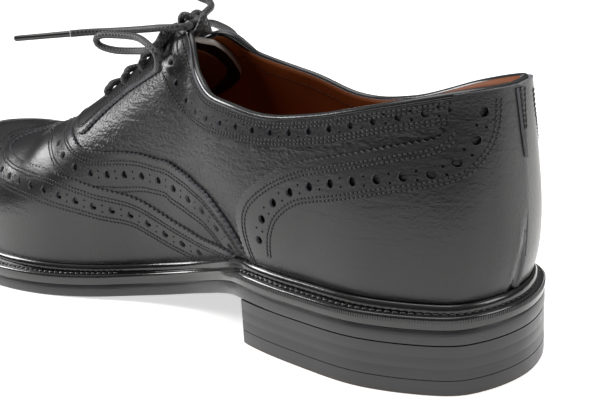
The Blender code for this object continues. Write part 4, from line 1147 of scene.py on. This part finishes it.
@dataclass
class Bottom:
    """The storm welt, outsole and heel. Lengths in metres."""

    welt: float = 0.004
    welt_seat: float = 0.00008
    bead_height: float = 0.0026
    bead_width: float = 0.0026
    bead_stand: float = 0.0011
    heel_length: float = 0.089
    top_piece: float = 0.005
    clearance: float = 0.00004
    lifts: int = 3
    lift_inset: float = 0.00015
    lift_groove: float = 0.00008
    groove_half: float = 0.0003
    contact_shade_height: float = 0.0006
    stitch_inset: float = 0.0021
    stitch_pitch: float = 0.0024
    stitch_size: tuple[float, float, float] = (0.00105, 0.00055, 0.00042)
    rib_pitch: float = 0.0008
    rib_drop: float = 0.0014
    rib_size: tuple[float, float, float] = (0.00036, 0.0012, 0.00036)
    wheel_to: float = 5.35
    waist_from: float = 5.3
    waist_to: float = 8.4

    def ring(self, step: float) -> list[tuple[float, int]]:
        """Sections and sides round the sole, from the heel's back over the toe."""
        lines = np.arange(0, TIP + step / 2, step)
        return [(u, 1) for u in lines] + [(u, -1) for u in lines[::-1]]

    def loft(self, rings: list[np.ndarray]) -> bmesh.types.BMesh:
        """A closed band through rings of points, each ring closed as well."""
        rings = np.array(rings)
        rings = np.concatenate([rings, rings[:, :1]], axis=1)
        bm = grid(FORM.placed(rings))
        weld(bm, 0.00002)
        return bm

    def make_welt(self, shop: Workshop) -> None:
        """The flat strip and the raised bead against the upper."""
        rings = []
        turn = np.linspace(0, math.pi, 9)
        for u, side in self.ring(1 / 8):
            edge_xy, _ = FORM.edge(u, side)
            base = FORM.underside(edge_xy[0]) + FORM.outsole + self.welt_seat
            ring = []
            for inset, height in ((0.0001, 0.0), (0.0, 0.0002), (0.0, self.welt - 0.0009),
                                  (0.0003, self.welt - 0.0003), (0.0010, self.welt),
                                  (0.0034, self.welt - 0.0002)):
                xy, _ = FORM.edge(u, side, inset)
                ring.append((*xy, base + height))
            shares = np.linspace(0, 0.5, 26)
            points = FORM.point(u, shares, side)
            share = np.interp(self.welt + self.bead_height / 2, points[:, 2] - points[0, 2], shares)
            spot = FORM.point(u, share, side)
            out = FORM.normal(u, share, side) * [1, 1, 0]
            out = out / np.linalg.norm(out)
            low = FORM.underside(spot[0]) + FORM.outsole + self.welt_seat + self.welt
            middle = spot + out * (self.bead_stand + self.bead_width / 2)
            for angle in turn:
                across = math.cos(angle) * self.bead_width / 2
                lift = -0.0006 + math.sin(angle) ** 0.8 * (self.bead_height + 0.0006)
                ring.append((*(middle + out * across)[:2], low + lift))
            back = spot + out * 0.0002
            ring.append((*back[:2], base + 0.0002))
            rings.append(np.array(ring))
        shop.add("storm_welt", self.loft(rings), [WELT_WAX], "welt_leather", ("welt",), sharp=55)

    def slab(self, rings: list[np.ndarray]) -> bmesh.types.BMesh:
        """A solid between a bottom ring and a top ring, its two ends closed."""
        bm = grid(FORM.placed(np.array(rings)))
        bmesh.ops.remove_doubles(bm, verts=bm.verts[:], dist=MERGE)
        rims = [edge for edge in bm.edges if edge.is_boundary]
        bmesh.ops.holes_fill(bm, edges=rims, sides=0)
        bmesh.ops.triangulate(bm, faces=[face for face in bm.faces if len(face.verts) > 4])
        weld(bm)
        return bm

    def make_outsole(self, shop: Workshop) -> None:
        """The leather outsole, its edge rounded at both faces."""
        thick = FORM.outsole
        profile = ((0.0008, 0.0), (0.0002, 0.0002), (0.0, 0.0006), (0.0, thick - 0.0002),
                   (0.0001, thick - 0.0001), (0.0020, thick))
        stations = self.ring(1 / 8)
        lines = [u for u, side in stations if side > 0]
        rows = []
        for inset, height in profile:
            rows.append([self.sole_spot(u, side, inset, height) for u, side in stations])
        bm = grid(FORM.placed(np.array(rows)))
        for inset, height in (profile[0], profile[-1]):
            across = []
            for u in lines:
                inner = np.array(self.sole_spot(u, 1, inset, height))
                outer = np.array(self.sole_spot(u, -1, inset, height))
                strip = inner + (outer - inner) * np.linspace(0, 1, 9)[:, None]
                strip[:, 2] = FORM.underside(strip[:, 0]) + height
                across.append(strip)
            pour(grid(FORM.placed(np.array(across))), bm)
        weld(bm, 0.00002)
        shop.add("sole_leather", bm, [SOLE_EDGE_WAX], "outsole_leather", ("outsole",), sharp=50)

    def sole_spot(self, u: float, side: int, inset: float, height: float) -> tuple[float, float, float]:
        """A point inside the sole's edge at a height over the underside."""
        xy, _ = FORM.edge(u, side, inset)
        return (xy[0], xy[1], float(FORM.underside(xy[0])) + height)

    def heel_outline(self, inset: float) -> np.ndarray:
        """The heel in plan, from the breast's inner corner round the back to its outer corner."""
        sides = []
        for side in (1, -1):
            us = np.linspace(0, 6.5, 66)
            xy = FORM.edge(us, side, inset)[0]
            ahead = np.interp(self.heel_length - inset / 2, xy[:, 0], us)
            kept = np.linspace(0, ahead, 44)
            sides.append(FORM.edge(kept, side, inset)[0])
        return np.concatenate([sides[0][::-1], sides[1][1:]])

    def heel_part(self, profile: tuple) -> bmesh.types.BMesh:
        """A lift of the heel whose wall follows (inset, height) points."""
        rings = []
        for inset, height in profile:
            plan = self.heel_outline(inset)
            ring = np.column_stack([plan, np.full(len(plan), height)])
            rings.append(np.concatenate([ring, ring[:1]]))
        return self.slab(rings)

    def make_heel(self, shop: Workshop) -> None:
        """The stacked lifts and the top piece, whose lowest band is painted brown as contact shade."""
        low = self.top_piece + self.clearance
        high = FORM.heel_rise - self.clearance
        inset, half = self.lift_inset, self.groove_half
        profile = [(inset + 0.0002, low), (inset, low + 0.0001)]
        for k in range(1, self.lifts):
            line = low + (high - low) * k / self.lifts
            profile += [(inset, line - half), (inset + self.lift_groove, line), (inset, line + half)]
        profile += [(inset, high - 0.0001), (inset + 0.0003, high)]
        shop.add("heel_lifts", self.heel_part(tuple(profile)), [HEEL_WAX], "heel_leather", ("heel_stack",),
                 sharp=50)
        tread = ((0.0006, 0.0), (0.0002, 0.0002), (0.0001, 0.0008), (0.0001, self.top_piece - 0.0001),
                 (0.0003, self.top_piece))
        obj = shop.add("heel_top_piece", self.heel_part(tread), [HEEL_WAX, HEEL_CONTACT_SHADE], "heel_rubber",
                       ("top_piece",), sharp=50)
        # The top piece's lowest band takes the painted brown contact shade.
        for face in obj.data.polygons:
            if face.center.z < self.contact_shade_height:
                face.material_index = 1

    def make_stitches(self, shop: Workshop) -> None:
        """The welt's stitches, left out along the inner waist, and its wheeled edge."""
        spots, ahead = [], []
        for side in Side:
            us = np.linspace(0, TIP, 800)
            xy = FORM.edge(us, side.value, self.stitch_inset)[0]
            xyz = np.column_stack([xy, FORM.underside(xy[:, 0]) + FORM.outsole + self.welt_seat + self.welt])
            reach = reach_of(xyz)
            at = np.arange(0, reach[-1], self.stitch_pitch)
            line = read_at(at, reach, xyz)
            u = np.interp(at, reach, us)
            kept = (side is Side.OUTER) | (u < self.waist_from) | (u > self.waist_to)
            spots.append(line[kept])
            ahead.append(np.gradient(line, axis=0)[kept])
        spots = FORM.placed(np.concatenate(spots))
        ahead = np.concatenate(ahead)
        up = np.tile([0.0, 0.0, 1.0], (len(spots), 1))
        shop.add("welt_stitches", repeat(bead(8, 6), frames(spots, ahead, up, self.stitch_size)),
                 [WELT_WAX], "welt_leather", sharp=80)
        self.make_wheeling(shop)

    def make_wheeling(self, shop: Workshop) -> None:
        """The row of fine ribs that a hot wheel leaves under the welt round the heel."""
        spots, ahead, out = [], [], []
        for side in Side:
            us = np.linspace(0, self.wheel_to, 500)
            xy, away = FORM.edge(us, side.value)
            xyz = np.column_stack([xy, FORM.underside(xy[:, 0]) + FORM.outsole + self.welt - self.rib_drop])
            reach = reach_of(xyz)
            at = np.arange(self.rib_pitch / 2, reach[-1], self.rib_pitch)
            spots.append(read_at(at, reach, xyz))
            away = np.column_stack([away, np.zeros(len(us))])
            out.append(read_at(at, reach, away))
        spots, out = FORM.placed(np.concatenate(spots)), unit(np.concatenate(out))
        ahead = np.cross([0.0, 0.0, 1.0], out)
        rib = bmesh.new()
        bmesh.ops.create_cube(rib, size=1.0)
        shop.add("heel_wheeling", repeat(rib, frames(spots, ahead, out, self.rib_size)),
                 [SOLE_EDGE_WAX], "outsole_leather")

    def build(self, shop: Workshop) -> None:
        """Make the whole bottom."""
        self.make_welt(shop)
        self.make_outsole(shop)
        self.make_heel(shop)
        self.make_stitches(shop)
        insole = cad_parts["insole"]
        for slot in insole.material_slots:
            slot.material = shop.finish(TAN_LINING)


@dataclass
class Tongue:
    """The tongue under the facings, with its lining patch. Lengths in metres."""

    gap: float = 0.0030
    thickness: float = 0.0022
    border: float = 0.0045
    lining: float = 0.0006
    share_length: float = 0.07
    section_length: float = 0.018
    rows: int = 60
    columns: int = 14
    hidden_rows: int = 4

    def surface(self, inset: float, depth: float) -> np.ndarray:
        """The tongue's face, narrowed by an inset, as rows by columns of points."""
        rows = spline(TONGUE, np.linspace(0, len(TONGUE) - 1, self.rows))
        if inset:
            rows = rows[self.hidden_rows :]
        made = []
        for index, (u, inner, outer) in enumerate(rows):
            left_over = (len(rows) - 1 - index) / (len(rows) - 1)
            half = []
            for side, lowest in ((1, inner), (-1, outer)):
                shares = np.linspace(min(lowest + inset / self.share_length, 0.995), 1.0, self.columns)
                u_here = u + (inset / self.section_length) * (1 if left_over < 1 else 0)
                half.append(FORM.point(u_here, shares, side) - FORM.normal(u_here, shares, side) * depth)
            middle = (half[0][-1] + half[1][-1]) / 2
            points = [*half[0], middle, *half[1][::-1]]
            if u >= THROAT:
                points = [*half[0][:-1], middle, middle, middle, *half[1][-2::-1]]
            made.append(FORM.placed(np.array(points)))
        return np.array(made)

    def build(self, shop: Workshop) -> None:
        """Make the tongue and the lining patch on its inner face."""
        bm = grid(self.surface(0.0, self.gap))
        face_out(bm)
        obj = shop.add("tongue_leather", bm, [PANEL_CALF, PANEL_CALF, RAW_EDGE], "black_calf", ("tongue",))
        wall(obj, self.thickness, -1.0, inner=1, rim=2)
        bm = grid(self.surface(self.border, self.gap + self.thickness + 0.0001))
        face_out(bm)
        obj = shop.add("tongue_lining", bm, [TONGUE_LINING], "tan_lining")
        wall(obj, self.lining, -1.0)


# The free laces' routes, in millimetres from the back of the heel. The first end of each, and the outer
# loop's last end, are moved onto the knot.
KNOT_CENTRE = (130.0, 3.5, 102.1)
KNOT_RADII = (7.0, 6.0, 4.2)
NEAR_LOOP = (
    (132.5, 10.0, 102.0), (133.8, 15.0, 100.4), (132.9, 19.6, 97.1), (136.2, 21.2, 94.9),
    (145.8, 19.8, 93.9), (154.7, 21.0, 93.9), (161.2, 22.0, 95.2), (162.4, 23.0, 97.5),
    (159.2, 23.0, 99.4), (150.9, 21.5, 99.5), (142.0, 21.0, 99.0), (134.0, 23.2, 97.3),
    (129.4, 23.8, 94.6), (128.9, 23.6, 91.6), (130.4, 22.9, 88.9),
)
NEAR_END = (
    (126.0, 10.5, 102.3), (124.2, 14.2, 102.5), (127.6, 17.0, 102.4), (133.4, 18.1, 102.2),
    (138.5, 17.8, 101.7), (150.0, 17.0, 100.7), (160.0, 18.0, 100.1), (167.2, 21.6, 100.0),
    (171.8, 27.0, 99.95),
)
FAR_LOOP = (
    (133.0, -3.0, 101.6), (134.7, -6.4, 100.9), (136.2, -11.0, 100.1), (137.3, -16.0, 98.4),
    (138.6, -22.0, 95.7), (139.9, -26.5, 92.2), (142.6, -29.0, 90.6), (144.9, -27.5, 93.4),
    (144.2, -22.5, 97.0), (143.3, -17.0, 99.1), (142.2, -11.5, 99.6), (141.0, -5.0, 100.2),
    (138.0, 0.0, 101.2),
)
FAR_END = (
    (131.5, -3.5, 105.5), (132.2, -5.6, 105.9), (133.6, -7.8, 106.1), (134.4, -9.0, 107.0),
    (136.0, -9.5, 108.2), (139.2, -9.3, 109.2), (144.0, -9.2, 110.6), (150.5, -9.5, 111.6),
    (157.5, -11.0, 111.8),
)


@dataclass
class Lacing:
    """The laces: bars, knot, bow and ends. Lengths in metres."""

    upper: Upper
    diameter: float = 0.0026
    aglet_diameter: float = 0.0022
    aglet_length: float = 0.0198
    knot_gap: float = 0.0008
    bar_step: float = 0.0012
    free_step: float = 0.0014
    knot_heart: tuple[float, float, float] = (0.0046, 0.0040, 0.0030)

    def on_knot(self, point: tuple) -> np.ndarray:
        """The place just outside the knot on the way to a point, in millimetres."""
        middle = np.array(KNOT_CENTRE)
        away = np.array(point) - middle
        return middle + away / np.linalg.norm(away / np.array(KNOT_RADII)) + unit(away) * self.knot_gap / MM

    def bars(self, shop: Workshop) -> None:
        """The lace across the throat, through each pair of holes."""
        height = self.upper.snug + self.upper.overlay + self.diameter / 2
        pairs = zip(self.upper.eyelets(1), self.upper.eyelets(-1))
        for number, (inner, outer) in enumerate(pairs, 1):
            route = []
            for (u, v), side in ((inner, 1), (outer, -1)):
                stops = ((v, -0.0045), (v, -0.0015), (v + 0.012, height - 0.0004), ((1 + v) / 2, height),
                         (1.0, height))
                half = [FORM.skin(u, share, side, lift) for share, lift in stops]
                route += half if side > 0 else half[::-1]
            bm = tube(even(np.array(route), self.bar_step), self.diameter / 2)
            shop.add(f"lace_across_{number}", bm, [WAXED_COTTON], "waxed_lace", (f"lace_bar_{number}",),
                     sharp=70)

    def knot(self, shop: Workshop) -> None:
        """The knot: the cord wound through itself, inside the solid's own size."""
        turn = np.linspace(0, 2 * math.pi, 150)
        size = (np.array(KNOT_RADII) - self.diameter / 2 / MM) * [1.0, 1.0, 1.1]
        wound = np.column_stack([
            (np.sin(turn) + 2 * np.sin(2 * turn)) / 3,
            (np.cos(turn) - 2 * np.cos(2 * turn)) / 3,
            -np.sin(3 * turn),
        ])
        path = FORM.placed((np.array(KNOT_CENTRE) + wound * size) * MM)
        bm = tube(path, self.diameter / 2)
        heart = bmesh.new()
        bmesh.ops.create_icosphere(heart, subdivisions=3, radius=1.0)
        core = Matrix.Translation(Vector(FORM.placed(np.array(KNOT_CENTRE) * MM)))
        core = core @ Matrix.Diagonal((*self.knot_heart, 1.0))
        bmesh.ops.transform(heart, matrix=core, verts=heart.verts[:])
        pour(heart, bm)
        shop.add("bow_knot", bm, [WAXED_COTTON], "waxed_lace", ("lace_knot",), sharp=70)

    def strands(self, shop: Workshop) -> None:
        """The lace from the top holes up to the knot."""
        for side in Side:
            u, v = self.upper.eyelets(side.value)[0]
            start = FORM.skin(u, v, side.value, -0.003)
            out = FORM.skin(u, v + 0.01, side.value, 0.0026)
            middle = FORM.placed(np.array(KNOT_CENTRE) * MM)
            over = (out * 0.5 + middle * 0.5) + np.array([0.0, side.value * 0.0018, 0.0012])
            bm = tube(even(np.array([start, out, over, middle]), self.bar_step), self.diameter / 2)
            shop.add(f"lace_to_knot_{side.name.lower()}", bm, [WAXED_COTTON], "waxed_lace", sharp=70)

    def free(self, shop: Workshop) -> None:
        """The loops, the ends and their tips."""
        for word, route in (("inner", NEAR_LOOP), ("outer", FAR_LOOP)):
            last = route[-1] if word == "inner" else self.on_knot(route[-1])
            route = [self.on_knot(route[0]), *route[1:-1], last]
            path = even(FORM.placed(np.array(route) * MM), self.free_step)
            self.declare(shop, f"bow_loop_{word}", path, f"lace_loop_{word}")
        for word, route in (("inner", NEAR_END), ("outer", FAR_END)):
            route = [self.on_knot(route[0]), *route[1:]]
            path = even(FORM.placed(np.array(route) * MM), self.free_step)
            ahead = unit(path[-1] - path[-2])
            stops = np.array([0.0, 0.0004, 0.5, 0.97, 1.0]) * self.aglet_length
            radii = np.array([0.9, 1.06, 0.98, 0.94, 0.6]) * self.aglet_diameter / 2
            tip = tube(path[-1] + ahead * (stops + self.upper.snug)[:, None], radii)
            tip = shop.add(f"lace_tip_{word}", tip, [TIP_FILM], "lace_tip", (f"aglet_{word}",), sharp=50)
            self.declare(shop, f"bow_end_{word}", path, f"lace_end_{word}")

    def declare(self, shop: Workshop, name: str, path: np.ndarray, node: str) -> None:
        """Make one free lace."""
        obj = shop.add(name, tube(path, self.diameter / 2), [WAXED_COTTON], "waxed_lace", (node,), sharp=70)

    def build(self, shop: Workshop) -> None:
        """Make all the laces."""
        self.free(shop)
        self.bars(shop)
        self.knot(shop)
        self.strands(shop)


@dataclass
class Studio:
    """The camera, a pale floor and soft light. Lengths in metres, angles in degrees."""

    eye: tuple[float, float, float] = (-0.1839, 0.2574, 0.1426)
    azimuth: float = 41.78
    elevation: float = 16.79
    roll: float = -3.46
    lens: float = 61.96
    horizon: float = 0.05
    zenith: float = 0.48
    glow: float = 0.62

    def camera(self) -> None:
        """The camera at the photograph's own place and angle."""
        a, e, r = (math.radians(angle) for angle in (self.azimuth, self.elevation, self.roll))
        look = Vector((math.sin(a) * math.cos(e), -math.cos(a) * math.cos(e), -math.sin(e)))
        right = look.cross(Vector((0, 0, 1))).normalized()
        up = right.cross(look)
        x = right * math.cos(r) + up * math.sin(r)
        y = up * math.cos(r) - right * math.sin(r)
        data = bpy.data.cameras.new("camera")
        data.lens = self.lens
        data.sensor_width = 36.0
        data.clip_start = 0.01
        obj = bpy.data.objects.new("camera", data)
        bpy.context.scene.collection.objects.link(obj)
        obj.matrix_world = Matrix.Translation(Vector(self.eye)) @ Matrix((x, y, -look)).transposed().to_4x4()
        bpy.context.scene.camera = obj

    def panel_light(self, name: str, place: tuple, target: tuple, size: float, power: float) -> None:
        """A soft square light that faces a target."""
        data = bpy.data.lights.new(name, "AREA")
        data.size = size
        data.energy = power
        obj = bpy.data.objects.new(name, data)
        bpy.context.scene.collection.objects.link(obj)
        way = Vector(target) - Vector(place)
        obj.matrix_world = Matrix.Translation(Vector(place)) @ way.to_track_quat("-Z", "Y").to_matrix().to_4x4()

    def build(self) -> None:
        """Make the floor and the lights."""
        bm = bmesh.new()
        bmesh.ops.create_grid(bm, x_segments=1, y_segments=1, size=3.0)
        floor = link_mesh("floor", bm)
        made, tree, shader = new_material("opal_light_table")
        feed(tree, shader, {"Base Color": linear("#f4f2f0"), "Roughness": 0.9,
                            "Emission Color": linear("#ffffff"), "Emission Strength": self.glow}, None)
        floor.data.materials.append(made)
        world = bpy.data.worlds.new("studio")
        world.use_nodes = True
        tree = world.node_tree
        way = add_node(tree, "ShaderNodeTexCoord").outputs["Generated"]
        parts = add_node(tree, "ShaderNodeSeparateXYZ", None, {0: way})
        rise = add_node(tree, "ShaderNodeMapRange", {"From Min": 0.15, "From Max": 0.95, "To Min": self.horizon,
                                                     "To Max": self.zenith}, {"Value": parts.outputs["Z"]})
        back = tree.nodes["Background"]
        back.inputs["Color"].default_value = linear("#ffffff")
        tree.links.new(rise.outputs["Result"], back.inputs["Strength"])
        bpy.context.scene.world = world
        bpy.context.scene.view_settings.view_transform = "Standard"
        self.panel_light("overhead", (0.10, 0.0, 1.1), (0.08, 0.0, 0.05), 1.0, 8.0)
        self.panel_light("window", (1.05, 0.45, 0.60), (0.10, 0.0, 0.06), 0.45, 9.0)
        self.panel_light("behind", (-0.8, -0.3, 0.5), (-0.02, 0.0, 0.06), 0.4, 2.5)


def main() -> None:
    """Build the camera, the laces and then the rest of the shoe."""
    logging.basicConfig(level=logging.INFO, format="%(message)s")
    shop = Workshop()
    studio = Studio()
    studio.camera()
    upper = Upper()
    assemblies = {"laces": Lacing(upper), "upper": upper, "tongue": Tongue(), "bottom": Bottom()}
    for name, assembly in assemblies.items():
        assembly.build(shop)
        log.info("%s done", name)
    studio.build()
    bpy.context.view_layer.update()


if __name__ == "__main__":
    main()
